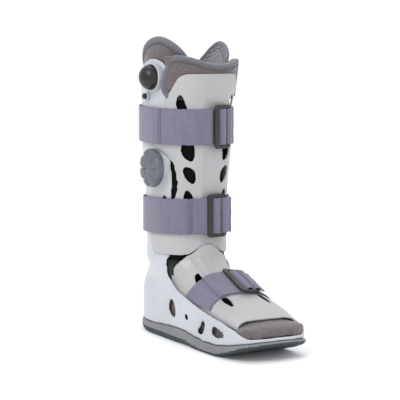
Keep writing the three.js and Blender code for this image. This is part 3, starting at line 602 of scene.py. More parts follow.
# %% Front panel
front_panel = moulded("front_panel", "shin_panel", 1.05, rounds=7)
points = get_points(front_panel.data)
FACET = {"centre": 6, "half": 17, "depth": 2.8, "top": 376}
across = (points[:, 0] - FACET["centre"]) / FACET["half"]
in_front = ease((-points[:, 1] - 20) / 20) * ease((FACET["top"] - points[:, 2]) / 60)
points[:, 1] += FACET["depth"] * in_front * np.clip(1 - np.abs(across) ** 2.5, 0, 1)
set_points(front_panel.data, points)
outward_share = points[:, :2] - [0, MIDDLE]
outward_share /= np.linalg.norm(outward_share, axis=1)[:, None]
facing = np.abs((get_normals(front_panel.data)[:, :2] * outward_share).sum(1))
soften(front_panel, 24, keep=np.clip(facing * 2.5 - 1.3, 0, 0.97))
# The panel takes the darker copy of the shell's white, as painted shade.
stand_for(front_panel, "front_panel", "panel_plastic", panel_white_shaded)

# %% [markdown]
# The foot panel arches over the instep. Between its slots the moulding stands
# a little proud in a flat band, which is raised here along the surface.

# %% Foot panel
foot_panel = moulded("foot_panel", "instep_panel", 1.1, rounds=5, curved=False, facets=60)
points, normals = get_points(foot_panel.data), get_normals(foot_panel.data)
BAND = {"middle": 2, "half": 21, "start": -150, "proud": 1.1}
from_edge = BAND["half"] - np.abs(points[:, 0] - BAND["middle"])
band = ease(from_edge / 5) * ease((points[:, 1] - BAND["start"]) / 40)
top_side = ease(normals[:, 2] * 2 - normals[:, 1])
set_points(foot_panel.data, points + normals * (BAND["proud"] * band * top_side)[:, None])
stand_for(foot_panel, "foot_panel", "panel_plastic", panel_white_shaded)

# %% [markdown]
# The sole is painted in two greys: a light band that shows all round, and a
# darker grey in a band near the floor that rises to the heel. Faces that turn down take the darker grey too,
# as painted shade.

# %% Outsole
outsole = moulded("outsole", "rocker_sole", 1.6, rounds=2)
outsole.data.materials.append(sole_grey)
outsole.data.materials.append(low_band_and_shade_grey)
dark_band_top, heel_rise = 4.5 * MM, 5 * MM
# Faces in a band near the floor, and faces that turn down, take the darker grey; on the down-turned faces it
# is painted shade.
for face in outsole.data.polygons:
    heel_band = heel_rise * ease((face.center.y / MM + 120) / 60)
    low = face.center.z < dark_band_top + heel_band or face.normal.z < -0.25
    face.material_index = 1 if low else 0
stand_for(outsole, "outsole", "sole_rubber")

# %% [markdown]
# The air cell is a thin black film behind the vents. The two small seats are
# collars under the bulb and the valve, with soft edges.

# %% Air cell and the small seats
air_cell = moulded("front_air_cell", "shin_air_cell", 1.6)
stand_for(air_cell, "front_air_cell", "air_cell", cell_film)
for node, name in (("bulb_seat", "bulb_ring"), ("valve_collar", "valve_ring")):
    seat = moulded(node, name, 0.7, rounds=6, curved=False)
    stand_for(seat, node, "shell_plastic", shell_white)

# %% [markdown]
# The liner, the tongue and the toe cover are padded felt. The liner is held
# between the walls and keeps its shape. The tongue and the toe cover stand
# free, so cloth simulation with a little pressure from inside swells them the
# way padding does, and the movement is capped to keep them off their panels.
# Where felt lies in the shade behind a panel, an attribute marks it as dark.


# %% Padding
def puff(obj, pressure, cap, frames=16):
    """Swells a closed pad with the cloth solver and keeps at most cap mm of it."""
    only(obj)
    before = get_points(obj.data)
    modifier = obj.modifiers.new("Cloth", "CLOTH")
    cloth = modifier.settings
    cloth.quality = 4
    cloth.mass = 0.3
    cloth.use_pressure = True
    cloth.uniform_pressure_force = pressure
    cloth.effector_weights.gravity = 0
    scene = bpy.context.scene
    for step in range(1, frames + 1):
        scene.frame_set(step)
    after = get_points(obj.evaluated_get(bpy.context.evaluated_depsgraph_get()).data)
    obj.modifiers.remove(modifier)
    scene.frame_set(1)
    move = after - before
    size = np.linalg.norm(move, axis=1)[:, None]
    set_points(obj.data, before + move * np.minimum(1, cap / np.maximum(size, 1e-9)))
    print(obj.name, "swelled by up to", round(float(min(size.max(), cap)), 2), "mm")


def mark(obj, name, values):
    attribute = obj.data.attributes.new(name, "FLOAT", "POINT")
    attribute.data.foreach_set("value", values.astype(np.float32))


liner = moulded("liner_boot", "padded_liner", 2.6, rounds=5)
points, normals = get_points(liner.data), get_normals(liner.data)
radial = points[:, :2] - [0, MIDDLE]
radial /= np.linalg.norm(radial, axis=1)[:, None] + 1e-9
inner_face = (normals[:, :2] * radial).sum(1) < -0.2
LINING_FOOT = 330
SHADED_OPENING = {"back": -12, "low": 72, "high": 150}
height = points[:, 2]
in_shaded_opening = (points[:, 1] < SHADED_OPENING["back"]) & (height > SHADED_OPENING["low"]) & (height < SHADED_OPENING["high"])
mark(liner, "inside", inner_face & (height > LINING_FOOT))
# Painted shade: the liner's outer face in the front opening is painted near black.
mark(liner, "dark", ~inner_face & in_shaded_opening)
stand_for(liner, "liner_boot", "felt", felt)

tongue = moulded("liner_tongue", "padded_tongue", 2.2, rounds=6)
puff(tongue, 3, 1.0)
points = get_points(tongue.data)
SHADE = {"top": 353, "back": -38}
# Painted shade: the tongue's front below the panel's top is painted near black.
mark(tongue, "dark", (points[:, 2] < SHADE["top"]) & (points[:, 1] < SHADE["back"]))
stand_for(tongue, "liner_tongue", "felt", felt)

toe_pad = moulded("toe_cover", "toe_pad", 1.6, rounds=4, curved=False, facets=25)
points = get_points(toe_pad.data)
TOE_PAD = {"start": -180, "reach": 30, "middle": 4, "half": 48,
           "wider": 3, "longer": 2.5, "corner": 5, "lower": 2.2}
front = ease((TOE_PAD["start"] - points[:, 1]) / TOE_PAD["reach"])
across = (points[:, 0] - TOE_PAD["middle"]) / TOE_PAD["half"]
points[:, 0] += TOE_PAD["wider"] * front * across
points[:, 1] -= TOE_PAD["longer"] * front
under = get_normals(toe_pad.data)[:, 2] < -0.3
corners_up = TOE_PAD["corner"] * front * np.abs(across) ** 3
points[:, 2] += corners_up * ~under - TOE_PAD["lower"] * front * under
set_points(toe_pad.data, points)
puff(toe_pad, 3, 1.0)
stand_for(toe_pad, "toe_cover", "felt", felt)


# %% [markdown]
# Bound edges are narrow tape folded over the felt. A tube of oval section
# follows the edge, with its own UV map for the weave, and a row of stitches
# runs beside it. The edge's path is worked out on the same oval as the leg.


# %% Paths and tubes
def curve_through(rows, count):
    """A smooth line through a few chosen points."""
    rows = np.array(rows, float)
    ends = np.concatenate([[2 * rows[0] - rows[1]], rows, [2 * rows[-1] - rows[-2]]])
    found = []
    for at in np.linspace(0, len(rows) - 1, count):
        i = min(int(at), len(rows) - 2)
        found.append(through(*ends[i:i + 4], at - i))
    return np.array(found)


def even(path, step):
    """The same line with its points a step apart."""
    length = lengths(path)
    at = np.linspace(0, length[-1], max(int(length[-1] / step), 2) + 1)
    return np.stack([np.interp(at, length, path[:, k]) for k in range(path.shape[1])], 1)


def drawn(name, rows, along, over, closed=False):
    """A grid primitive moved onto rows of points, with true lengths as its UV map; closed makes a tube."""
    across = rows.shape[1]
    bpy.ops.object.select_all(action="DESELECT")
    bpy.ops.mesh.primitive_grid_add(x_subdivisions=across - 1, y_subdivisions=len(rows) - 1, size=1)
    obj = bpy.context.object
    obj.name = obj.data.name = name
    set_points(obj.data, rows.reshape(-1, 3))
    row, place = np.divmod(read(obj.data.loops, "vertex_index", 1, np.int32)[:, 0], across)
    lengths = np.stack([along[row], over[place]], 1) * MM
    obj.data.uv_layers.active.data.foreach_set("uv", lengths.astype(np.float32).ravel())
    if closed:
        edit_all(obj, bpy.ops.mesh.remove_doubles, threshold=0.002 * MM)
        edit_all(obj, bpy.ops.mesh.fill_holes, sides=0)
        outward(obj)
    bpy.ops.object.shade_smooth()
    return obj


def frames_along(path, outs):
    """The directions along a path, out of its surface and across it."""
    tangent = np.gradient(path, axis=0)
    tangent /= np.linalg.norm(tangent, axis=1)[:, None]
    out = outs - (outs * tangent).sum(1)[:, None] * tangent
    out /= np.linalg.norm(out, axis=1)[:, None]
    return tangent, out, np.cross(tangent, out)


def tape_tube(name, path, outs, thick, wide, count=12):
    """An oval tube: thick across the pad, wide along its face."""
    _, out, side = frames_along(path, outs)
    turns = 2 * math.pi * (np.arange(count + 1) % count) / count
    rows = np.array([[path[i] + out[i] * math.cos(a) * thick + side[i] * math.sin(a) * wide for a in turns]
                     for i in range(len(path))])
    along = np.arange(len(path)) * np.linalg.norm(path[1] - path[0])
    over = np.arange(count + 1) * math.pi * (thick + wide) / count
    return drawn(name, rows, along, over, closed=True)


def one_stitch(radius, length, sides=6):
    """A small bent dash along X that sinks at both ends."""
    shape = [(-0.5, 0.35, -0.6), (-0.25, 1, 0), (0.25, 1, 0), (0.5, 0.35, -0.6)]
    turns = 2 * math.pi * (np.arange(sides + 1) % sides) / sides
    rows = np.array([[(at * length, radius * (sink + size * math.cos(a)), radius * size * math.sin(a))
                      for a in turns] for at, size, sink in shape])
    return drawn("stitch", rows, np.arange(len(rows)), np.arange(sides + 1), closed=True)


def stitches(name, lines, radius=0.55, length=2.6, pitch=4):
    """One stitch, copied along several lines of (path, outs) and joined to one mesh."""
    first = one_stitch(radius, length)
    copies = []
    for path, outs in lines:
        joined = even(np.concatenate([path, outs], 1), pitch)
        spots, facing = joined[:, :3], joined[:, 3:]
        for spot, *axes in zip(spots, *frames_along(spots, facing)):
            copy = bpy.data.objects.new(name, first.data.copy())
            bpy.context.collection.objects.link(copy)
            turn = Matrix(np.array(axes).T.tolist()).to_4x4()
            copy.data.transform(Matrix.Translation(Vector(spot) * MM) @ turn)
            copies.append(copy)
    bpy.data.objects.remove(first)
    obj = join_all(copies)
    obj.name = name
    outward(obj)
    obj.data.materials.append(thread)
    return obj


# %% Points of the leg's layers
def turn_at(y, height, grow):
    """The turn round the leg at which its oval passes a given depth."""
    half_depth = column(LEG_DEEP, height / SHELL) * CALF_DEPTH / 2 + grow
    c = np.clip((y - MIDDLE) / half_depth, -1, 1)
    return math.acos(math.copysign(abs(c) ** (LEG_POWER / 2), c))


def leg_spot(turn, height, grow):
    """A point over the floor, and the direction out of the leg there."""
    spot = leg_point(np.array(float(turn)), height, grow)
    ahead = leg_point(np.array(turn + 0.01), height, grow) - leg_point(np.array(turn - 0.01), height, grow)
    out = np.array([-ahead[1], ahead[0], 0])
    out *= math.copysign(1, out @ (spot - [0, MIDDLE, height]))
    return spot + [0, 0, TREAD], out / np.linalg.norm(out)


def flare(height):
    """How far the tongue and the panel lean out over the top of the upper strap."""
    strap_top = UPPER_STRAP * SHELL + STRAP_WIDTH / 2
    return column(FLARE, (height - strap_top) / (PANEL_TOP * SHELL - strap_top)) * PADDING


def ear_grow(height):
    """The middle of the ears' felt, which spreads out above the shell."""
    return EAR_INSET + EAR_SPLAY * column(EAR_SPREAD, height / SHELL)


EAR_FOOT, EAR_TOP = 0.93, 422 / SHELL
PUMP_EAR = [(-0.47, 0.16), (-0.53, 0.3), (-0.54, 0.5), (-0.5, 0.68), (-0.42, 0.84), (-0.3, 0.96), (-0.18, 1),
            (-0.04, 0.98), (0.12, 0.9), (0.28, 0.76), (0.4, 0.6), (0.48, 0.45), (0.57, 0.28), (0.68, 0.17),
            (0.9, 0.14)]
OTHER_EAR = [(-0.46, 0.14), (-0.47, 0.3), (-0.4, 0.48), (-0.28, 0.64), (-0.14, 0.78), (0, 0.87), (0.12, 0.88),
             (0.24, 0.8), (0.34, 0.68), (0.44, 0.5), (0.54, 0.32), (0.66, 0.18), (0.9, 0.14)]


def inward(rows, inset):
    """A side view's line, moved down into the pad by an inset."""
    step = np.gradient(rows, axis=0)
    step /= np.linalg.norm(step, axis=1)[:, None]
    return rows + np.stack([step[:, 1], -step[:, 0]], 1) * inset


def ear_path(inset, lift):
    """The liner's top edge from one front corner round the back to the other."""
    sides = []
    for flip, table in ((1, OTHER_EAR), (-1, PUMP_EAR)):
        rows = curve_through([(y * HEEL, mix(EAR_FOOT, EAR_TOP, up) * SHELL) for y, up in table], 90)
        rows = inward(rows, inset)
        rows = rows[rows[:, 0] < 0.86 * HEEL]
        spots = [leg_spot(turn_at(y, z, ear_grow(z)), z, ear_grow(z) + lift) for y, z in rows]
        start, height = turn_at(*rows[-1], ear_grow(rows[-1][1])), rows[-1][1]
        spots += [leg_spot(turn, height, ear_grow(height) + lift) for turn in np.linspace(start, 0, 10)[1:]]
        sides.append([(spot * [flip, 1, 1], out * [flip, 1, 1]) for spot, out in spots])
    whole = sides[0] + sides[1][:-1][::-1]
    both = even(np.array([np.concatenate(pair) for pair in whole]), 2.5)
    return both[:, :3], both[:, 3:]


EAR_TAPE = {"inset": 2.4, "thick": 4.2, "wide": 4, "stitch_inset": 8.4, "face": 3.5}
ear_binding = tape_tube("ear_binding", *ear_path(EAR_TAPE["inset"], 0), EAR_TAPE["thick"], EAR_TAPE["wide"])
trim(ear_binding, "felt", binding)
ear_lines = [ear_path(EAR_TAPE["stitch_inset"], face) for face in (EAR_TAPE["face"], -EAR_TAPE["face"])]
ear_stitches = stitches("ear_stitches", ear_lines)
trim(ear_stitches, "felt")

# %% Tongue's bound edge
TONGUE_EDGE = [(-0.37, 0.862), (-0.32, 0.878), (-0.31, 0.9), (-0.385, 0.955), (-0.48, 0.995),
               (-0.6, 1.015), (-0.74, 1.03)]
TONGUE_TOP = [(-1.2, 1.01), (-0.9, 1.008), (-0.7, 1.005), (-0.45, 0.995), (-0.15, 0.98), (0.15, 0.975),
              (0.5, 0.98), (0.85, 0.996), (1.2, 1.01)]


def tongue_spot(y, z, x_sign, share):
    """A point of the tongue at a share of its thickness, and the way out there."""
    grow = mix(GAP, flare(z), share)
    spot, out = leg_spot(turn_at(y, z, grow), z, grow)
    flip = np.array([x_sign, 1, 1])
    return spot * flip, out * flip


def top_edge(x):
    return SHELL * column(TONGUE_TOP, x / (CALF_WIDTH / 2))


def tongue_path(inset, share):
    """Up one side flap, over the top and down the other, at a share of its thickness."""
    sides = []
    for flip in (1, -1):
        rows = curve_through([(y * HEEL, z * SHELL) for y, z in TONGUE_EDGE], 80)
        rows = inward(rows, -inset)
        line = []
        for y, z in rows:
            spot, out = tongue_spot(y, z, flip, share)
            if z > top_edge(spot[0]) - inset:
                break
            line.append(np.concatenate([spot, out]))
        sides.append(line)
    ends = [side[-1][0] for side in sides]
    over = []
    for x in np.linspace(ends[0], ends[1], 60)[1:-1]:
        z = top_edge(x) - inset
        grow = mix(GAP, flare(z), share)
        half = leg_point(np.array(math.pi / 2), z, grow)[0]
        c = (1 - min(abs(x) / half, 1) ** LEG_POWER) ** (1 / LEG_POWER)
        turn = math.acos(max(-c ** (LEG_POWER / 2), -1))
        spot, out = leg_spot(turn, z, grow)
        flip = np.array([math.copysign(1, x), 1, 1])
        over.append(np.concatenate([spot * flip, out * flip]))
    whole = np.array(sides[0] + over + sides[1][::-1])
    for _ in range(6):
        whole[1:-1] += 0.5 * ((whole[:-2] + whole[2:]) / 2 - whole[1:-1])
    both = even(whole, 2.5)
    return both[:, :3], both[:, 3:]


TONGUE_TAPE = {"inset": 2.2, "thick": 6, "wide": 4, "stitch_inset": 8.2, "middle": 0.5, "outer_face": 1.06}
middle_line = tongue_path(TONGUE_TAPE["inset"], TONGUE_TAPE["middle"])
tongue_binding = tape_tube("tongue_binding", *middle_line, TONGUE_TAPE["thick"], TONGUE_TAPE["wide"])
trim(tongue_binding, "felt", binding)
stitch_line = tongue_path(TONGUE_TAPE["stitch_inset"], TONGUE_TAPE["outer_face"])
tongue_stitches = stitches("tongue_stitches", [stitch_line])
trim(tongue_stitches, "felt")


# %% [markdown]
# The straps are flat webbing, so they are drawn directly: a fine grid along
# the same line as the solid, with small waves where the cloth lies loose,
# given its thickness by Solidify and soft edges by Bevel. Each one doubles
# back through its buckle, so a second layer lies on top and ends in a
# stitched edge.


# %% Webbing strips
def strip(name, surface, us, vs, thickness):
    """A grid over surface(u, v), with a UV map in true lengths and a thickness."""
    grid = np.array([[surface(u, v) for v in vs] for u in us])
    obj = drawn(name, grid, lengths(grid[:, len(vs) // 2]), lengths(grid[len(us) // 2]))
    apply_modifier(obj, "SOLIDIFY", thickness=thickness * MM, offset=0)
    outward(obj)
    apply_modifier(obj, "BEVEL", width=0.45 * MM, segments=2, limit_method="ANGLE", angle_limit=0.9)
    bpy.ops.object.shade_smooth()
    obj.data.materials.append(webbing)
    return obj


UPPER = {"middle": 300, "lift": 4.1, "back": 0.7, "tilt": 0.03}
LOWER = {"middle": 172, "lift": 4, "back": 0.6, "tilt": -0.02}


def strap_spot(strap, angle, extra):
    """A point of a leg strap's line; angle 0 is the front, towards -X below it."""
    turn = math.pi - angle
    top = strap["middle"] + STRAP_WIDTH / 2
    front, out = leg_spot(turn, top, strap["lift"] + extra)
    back, _ = leg_spot(turn, top, strap["back"] + extra)
    share = ease((front[1] - MIDDLE - STRAP_BEND) / (CALF_WIDTH / 2))
    return mix(front, back, share), out


def leg_strip(strap, name, start, stop, extra, waves, phase, shrink=0):
    """A length of webbing round the leg between two angles."""
    half = STRAP_WIDTH / 2 - shrink

    def surface(angle, v):
        spot, out = strap_spot(strap, angle, extra)
        z = strap["middle"] + v * half
        loose = waves * (math.sin(angle * 9 + phase + v) * math.sin(angle * 3.1 - phase)
                         + 0.5 * v * v * math.sin(angle * 14 + 2 * phase))
        frayed = 0.25 * math.sin(angle * 31 + phase) * abs(v) ** 8
        return np.array([spot[0], spot[1], z + strap["tilt"] * spot[1] + TREAD + frayed]) + out * loose

    count = max(int(abs(stop - start) / 0.025), 8)
    return strip(name, surface, np.linspace(start, stop, count), np.linspace(-1, 1, 19), WEBBING - 0.3)


def finish_strap(pieces, node):
    """Joins the strips of one strap into one object that stands for its solid."""
    strap = join_all(pieces)
    stand_for(strap, node, "strap_webbing")
    print(strap.name, len(strap.data.polygons), "faces")


def buckle_loop(place, half_bar, path):
    """A fold of webbing over one bar of a buckle, in the buckle's own frame."""
    line = curve_through(path, 30)

    def surface(i, v):
        x, z = line[int(round(i))]
        sag = 0.25 * math.sin(v * 7 + x)
        return np.array(place @ Vector(((x + sag) * MM, v * half_bar * MM, z * MM))) / MM

    return strip("loop", surface, np.arange(30), np.linspace(-1, 1, 15), 1.5)


MIDDLE_FOLD = [(-6.8, 0), (-5.2, 2.2), (-2.6, 4.7), (0.8, 5.1), (3.4, 4.2), (4.8, 1.4), (5, -0.8)]
END_FOLD = [(7.2, -0.8), (7.6, 2), (9.8, 4.8), (13.5, 5.2), (17, 3.6), (20.5, 1.2), (26, 0.4)]


# %% [markdown]
# A buckle is a flat frame with two slots, moulded in dark plastic. It is made
# from the solid's own place: a cube is flattened, its corners are rounded
# with Bevel and the slots are cut with a boolean, then all edges are broken.

# %% Buckles
BUCKLE = {"length": 61, "width": 33, "thick": 3.2, "bar": 5, "wide_bar": 8, "corner": 6}


def buckle_place(node):
    """The buckle's own frame, found from its solid: thinnest way out, longest way up."""
    points = np.unique(get_points(nodes[node].data).round(3), axis=0)
    centre = (points.max(0) + points.min(0)) / 2
    _, _, axes = np.linalg.svd(points - points.mean(0), full_matrices=False)
    length, width, out = axes
    out = out * math.copysign(1, out @ (centre - [0, MIDDLE, centre[2] - 60]))
    width = width * math.copysign(1, width[0])
    length = np.cross(out, width)
    local = (points - centre) @ np.array([width, length, out]).T
    shift = (local.max(0) + local.min(0)) / 2
    origin = centre + width * shift[0] + length * shift[1] + out * local.min(0)[2]
    basis = Matrix(np.array([width, length, out]).T.tolist()).to_4x4()
    return Matrix.Translation(Vector(origin * MM)) @ basis


def box_between(low, high):
    """A box from corner to corner, in mm."""
    low, high = Vector(low) * MM, Vector(high) * MM
    bpy.ops.mesh.primitive_cube_add(size=1)
    box = bpy.context.object
    box.data.transform(Matrix.Translation((low + high) / 2) @ Matrix.Diagonal([*(high - low), 1]))
    return box


def make_buckle(node, name):
    half_width, half_length = BUCKLE["width"] / 2, BUCKLE["length"] / 2
    body = box_between((-half_width, -half_length, 0), (half_width, half_length, BUCKLE["thick"]))
    body.name = name
    only(body)
    corners = body.data.vertices
    upright = [edge for edge in body.data.edges
               if abs(corners[edge.vertices[0]].co.z - corners[edge.vertices[1]].co.z) > 0.1 * MM]
    weights = body.data.attributes.new("bevel_weight_edge", "FLOAT", "EDGE")
    for edge in upright:
        weights.data[edge.index].value = 1
    apply_modifier(body, "BEVEL", width=BUCKLE["corner"] * MM, segments=7, limit_method="WEIGHT")
    slot = (BUCKLE["width"] - BUCKLE["wide_bar"] - 2 * BUCKLE["bar"]) / 2
    end = half_length - BUCKLE["bar"]
    for start in (-half_width + BUCKLE["wide_bar"], half_width - BUCKLE["bar"] - slot):
        cutter = box_between((start, -end, -2), (start + slot, end, BUCKLE["thick"] + 2))
        apply_modifier(body, "BOOLEAN", operation="DIFFERENCE", object=cutter, solver="EXACT")
        bpy.data.objects.remove(cutter)
    apply_modifier(body, "BEVEL", width=0.8 * MM, segments=3, limit_method="ANGLE", angle_limit=0.6)
    place = buckle_place(node)
    body.data.transform(place)
    only(body)
    bpy.ops.object.shade_smooth_by_angle(angle=0.6)
    body.data.materials.clear()
    stand_for(body, node, "buckle_plastic", buckle_brown)
    return place


upper_place = make_buckle("buckle_upper", "upper_buckle_frame")
lower_place = make_buckle("buckle_lower", "lower_buckle_frame")
foot_place = make_buckle("buckle_foot", "foot_buckle_frame")

# %% Leg straps
half_bar = BUCKLE["length"] / 2 - BUCKLE["bar"] - 0.6
for strap, name, node, free_end, place in (
        (UPPER, "upper_webbing", "strap_upper", -1.19, upper_place),
        (LOWER, "lower_webbing", "strap_lower", -0.5, lower_place)):
    base = leg_strip(strap, name, -math.pi, math.pi - 0.004, WEBBING / 2 + 0.1, 0.12, 1.3)
    flap = leg_strip(strap, "flap", free_end, 0.02, WEBBING * 1.5 + 0.1, 0.18, 0.4, 0.4)
    finish_strap([base, flap, buckle_loop(place, half_bar, MIDDLE_FOLD),
                  buckle_loop(place, half_bar, END_FOLD)], node)


def seam(strap, angle):
    """A line across a strap for its stitches, on top of the second layer."""
    lift = WEBBING * 2.1 + 0.2
    spots, outs = [], []
    for v in np.linspace(-0.9, 0.9, 12):
        spot, out = strap_spot(strap, angle, lift)
        z = strap["middle"] + v * STRAP_WIDTH / 2 + strap["tilt"] * spot[1] + TREAD
        spots.append([spot[0], spot[1], z])
        outs.append(out)
    return np.array(spots), np.array(outs)


seam_lines = [seam(UPPER, -1.16), seam(UPPER, -1.11), seam(LOWER, -0.47), seam(LOWER, -0.42)]
seams = stitches("strap_seams", seam_lines, radius=0.4, length=2.2, pitch=3.2)
trim(seams, "strap_webbing")


# %% [markdown]
# The foot strap runs over the arch of the instep. Its surface is the same
# arch as the panel's, worked out here from a table from toe to shin.

# %% Foot strap
INSTEP_ROWS = [  # along the foot, then crest height, lean, drop and roundness of the arch there
    (0.443, 2.6, 90, 1.035, 0.95),
    (0.444, 2.24, 87, 1.035, 0.95),
    (0.455, 2.08, 76, 1.05, 0.95),
    (0.484, 1.95, 58, 1.07, 0.92),
    (0.535, 1.77, 38, 1.05, 0.88),
    (0.61, 1.57, 14, 0.85, 0.82),
    (0.7, 1.36, 4, 0.62, 0.7),
    (0.82, 1.11, 0, 0.45, 0.56),
    (0.91, 0.9, 0, 0.3, 0.5),
]
INSTEP = {name: [(row[0], row[k]) for row in INSTEP_ROWS]
          for k, name in enumerate(("up", "lean", "drop", "round"), 1)}
INSTEP_INSET = WALL + WEBBING + 2 * GAP + 0.5


def width_at(y, height):
    """The shell's half width at a place along the foot."""
    right = outline(height)[:SIDES // 2 + 1]
    return float(np.interp(-y, -right[:, 1], right[:, 0]))


def instep(along, turn, rise):
    """A point of the instep's arch; turn runs from -1 to 1 over the foot."""
    crest_y = HEEL - along * FOOT_LENGTH
    crest_z = column(INSTEP["up"], along) * FOOT_TOP
    lean = math.radians(column(INSTEP["lean"], along))
    drop = column(INSTEP["drop"], along) * FOOT_TOP + rise
    share = float(ease((crest_z - FOOT_TOP * 1.5) / (ANKLE_TOP - FOOT_TOP * 1.5)))
    end_y, end_z = crest_y + math.sin(lean) * drop, crest_z - math.cos(lean) * drop
    half = width_at(end_y, end_z) - mix(INSTEP_INSET, GAP, share) + rise
    power = column(INSTEP["round"], along)
    angle = turn * math.pi / 2
    side = math.copysign(half * abs(math.sin(angle)) ** power, turn)
    fall = drop * (1 - abs(math.cos(angle)) ** power)
    y = crest_y - math.sin(lean) * rise + math.sin(lean) * fall
    z = crest_z + math.cos(lean) * rise - math.cos(lean) * fall
    return swing(np.array([[side, y, z + TREAD]]))[0]


def foot_strip(name, start, stop, rise, waves, back=87, front=137):
    low, high = along_foot(-front), along_foot(-back)

    def surface(turn, v):
        loose = waves * math.sin(turn * 24 + v * 2) * math.sin(turn * 5)
        return instep(mix(low, high, (v + 1) / 2), turn, rise + loose)

    return strip(name, surface, np.linspace(start, stop, 90), np.linspace(-1, 1, 19), WEBBING - 0.3)


base = foot_strip("foot_webbing", -0.83, 0.83, GAP + WEBBING / 2, 0.1)
flap = foot_strip("flap", -0.36, 0.06, GAP + WEBBING * 1.5 + 0.1, 0.3)
finish_strap([base, flap, buckle_loop(foot_place, half_bar, MIDDLE_FOLD),
              buckle_loop(foot_place, half_bar, END_FOLD)], "strap_foot")

# %% [markdown]
# The selector dial is a fluted knob. A profile is turned about its axis, and
# petals are pressed into it where a finger grips. Four dark dots on its face are
# painted shade for its small holes, with no lettering. The bulb and the button
# are turned in the same way.


# %% Dial, bulb and valve
def turned(name, profile, count, origin, shape=None):
    """A body turned about -X from (radius, height) rows, with a shape for its petals."""
    rows = []
    for radius, height in profile:
        row = []
        for k in range(count + 1):
            a = 2 * math.pi * (k % count) / count
            r, h = shape(a, radius, height) if shape else (radius, height)
            row.append((origin[0] - h, origin[1] + r * math.sin(a), origin[2] + r * math.cos(a)))
        rows.append(row)
    return drawn(name, np.array(rows), np.arange(len(rows)), np.arange(count + 1), closed=True)


DIAL = {"radius": 27, "rim": 9, "crown": 15, "petals": 8}
dial_low, dial_high = (np.array(corner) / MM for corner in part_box("selector_dial"))
dial_origin = (dial_high[0], (dial_low[1] + dial_high[1]) / 2, (dial_low[2] + dial_high[2]) / 2)


def petals(a, radius, height):
    """Finger hollows: deep at the rim, fading to the crown."""
    share = radius / DIAL["radius"]
    hollow = abs(math.cos(a * DIAL["petals"] / 2)) ** 9
    at_edge = float(ease((share - 0.3) / 0.35) * ease((height - 1.5) / 2))
    return radius * (1 - 0.07 * hollow * at_edge), height * (1 - 0.16 * hollow * at_edge)


def crown_height(share):
    """The dial's height at a share of the way from its rim to its middle."""
    return rim + 1.2 + (crown - rim - 1.4) * math.sin(share * math.pi / 2) ** 0.8


rim, crown, radius = DIAL["rim"], DIAL["crown"], DIAL["radius"]
dial_profile = [(radius * 0.93, 0), (radius * 0.97, 0.15), (radius * 0.975, 1.2),
                (radius * 0.99, 1.6), (radius, 2.2), (radius, rim - 2), (radius * 0.985, rim - 0.6),
                (radius * 0.95, rim + 0.6)]
dial_profile += [(radius * mix(0.93, 0.05, s), crown_height(s)) for s in np.linspace(0, 1, 16)]
dial = turned("fluted_dial", dial_profile, 160, dial_origin, petals)
stand_for(dial, "selector_dial", "dial_plastic", dial_grey, body="dial")

# Painted shade: small dark dots stand in for the shade inside the dial's holes.
dots = []
for k, (dy, dz) in enumerate([(4.5, 3.5), (7, -2), (1.5, -1), (3, -7)]):
    bpy.ops.mesh.primitive_uv_sphere_add(segments=16, ring_count=8, radius=1)
    dot = bpy.context.object
    spread = math.hypot(dy, dz) / radius
    height = crown_height((0.93 - spread) / 0.88)
    dot.data.transform(Matrix.Diagonal([1.1 * MM, 1.3 * MM, 1.3 * MM, 1]))
    dot.data.transform(Matrix.Translation(Vector((dial_origin[0] - height, dial_origin[1] + dy,
                                                  dial_origin[2] + dz)) * MM))
    dots.append(dot)
dial_hole_shades = join_all(dots)
dial_hole_shades.name = "dial_hole_shades"
bpy.ops.object.shade_smooth()
trim(dial_hole_shades, "dial_plastic", hole_shade_dark, body="dial")

bulb_low, bulb_high = (np.array(corner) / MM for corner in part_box("inflation_bulb"))
bulb_origin = (bulb_high[0], (bulb_low[1] + bulb_high[1]) / 2, (bulb_low[2] + bulb_high[2]) / 2)
bulb_radius = (bulb_high[2] - bulb_low[2]) / 2
bulb_profile = [(bulb_radius * 0.9, 0), (bulb_radius * 0.97, 0.3), (bulb_radius, 1.2), (bulb_radius, 1.9),
                (bulb_radius * 0.975, 2.3)]
bulb_profile += [(bulb_radius * 0.985 * math.cos(s), 2.4 + (bulb_radius - 2.4) * math.sin(s))
                 for s in np.linspace(0.02, 1.5, 22)]
bulb = turned("pump_bulb", bulb_profile, 72, bulb_origin)
stand_for(bulb, "inflation_bulb", "black_rubber", bulb_black)

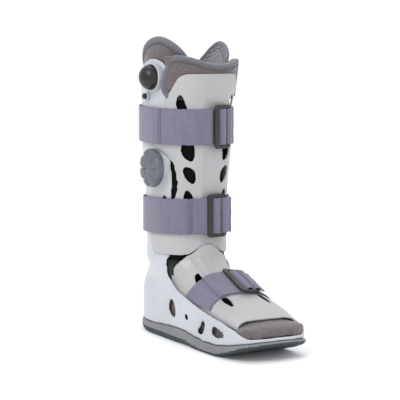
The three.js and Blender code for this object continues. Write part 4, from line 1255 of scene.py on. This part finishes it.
valve_low, valve_high = (np.array(corner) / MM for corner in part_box("release_valve"))
valve_origin = (valve_high[0], (valve_low[1] + valve_high[1]) / 2, (valve_low[2] + valve_high[2]) / 2)
valve_profile = [(3.1, 0.6), (3.7, 0.9), (3.9, 1.5), (3.95, 3.2), (3.8, 3.8), (3.3, 4.3), (2.6, 4.55),
                 (2.3, 4.3), (0.3, 4.1)]
valve = turned("valve_button", valve_profile, 40, valve_origin)
stand_for(valve, "release_valve", "black_rubber", bulb_black, body="valve")

# %% [markdown]
# The boot stands on a plain white floor in soft light from the left. The
# camera is long and far away, so that uprights stay nearly parallel.

# %% Floor, light and camera
bpy.ops.mesh.primitive_plane_add(size=30)
floor = bpy.context.object
floor.name = "floor"
floor_finish = Finish("floor_white", 0.9)
floor_finish.shader.inputs["Base Color"].default_value = (0.95, 0.955, 0.96, 1)
floor.data.materials.append(floor_finish.material)

view = bpy.context.scene.view_settings
view.view_transform, view.look = "Standard", "None"
world = bpy.data.worlds.new("studio")
bpy.context.scene.world = world
world.use_nodes = True
sky = world.node_tree.nodes["Background"]
sky.inputs["Color"].default_value = (0.97, 0.985, 1, 1)
sky.inputs["Strength"].default_value = 1.08


def area_light(name, spot, aim, size, power, tint=(1, 1, 1)):
    light = bpy.data.lights.new(name, "AREA")
    light.energy, light.size, light.color = power, size, tint
    obj = bpy.data.objects.new(name, light)
    bpy.context.collection.objects.link(obj)
    obj.location = spot
    obj.rotation_euler = (Vector(aim) - Vector(spot)).to_track_quat("-Z", "Y").to_euler()


area_light("key", (-1.5, -0.7, 1.6), (0, 0, 0.2), 0.9, 17)
area_light("top", (0.3, 0.4, 1.8), (0, -0.05, 0.1), 1.2, 6)
area_light("front", (0.5, -2.2, 0.9), (0, 0, 0.2), 1.6, 2)

CAMERA = {"azimuth": -31, "distance": 2, "height": 0.4185, "lens": 126, "aim": (0, 0, 0.1935), "shift": 0.03}
camera = bpy.data.objects.new("camera", bpy.data.cameras.new("camera"))
bpy.context.collection.objects.link(camera)
azimuth = math.radians(CAMERA["azimuth"])
away = CAMERA["distance"]
camera.location = (math.sin(azimuth) * away, -math.cos(azimuth) * away, CAMERA["height"])
camera.rotation_euler = (Vector(CAMERA["aim"]) - camera.location).to_track_quat("-Z", "Y").to_euler()
camera.data.lens = CAMERA["lens"]
camera.data.sensor_width = 36
camera.data.shift_x = CAMERA["shift"]
bpy.context.scene.camera = camera
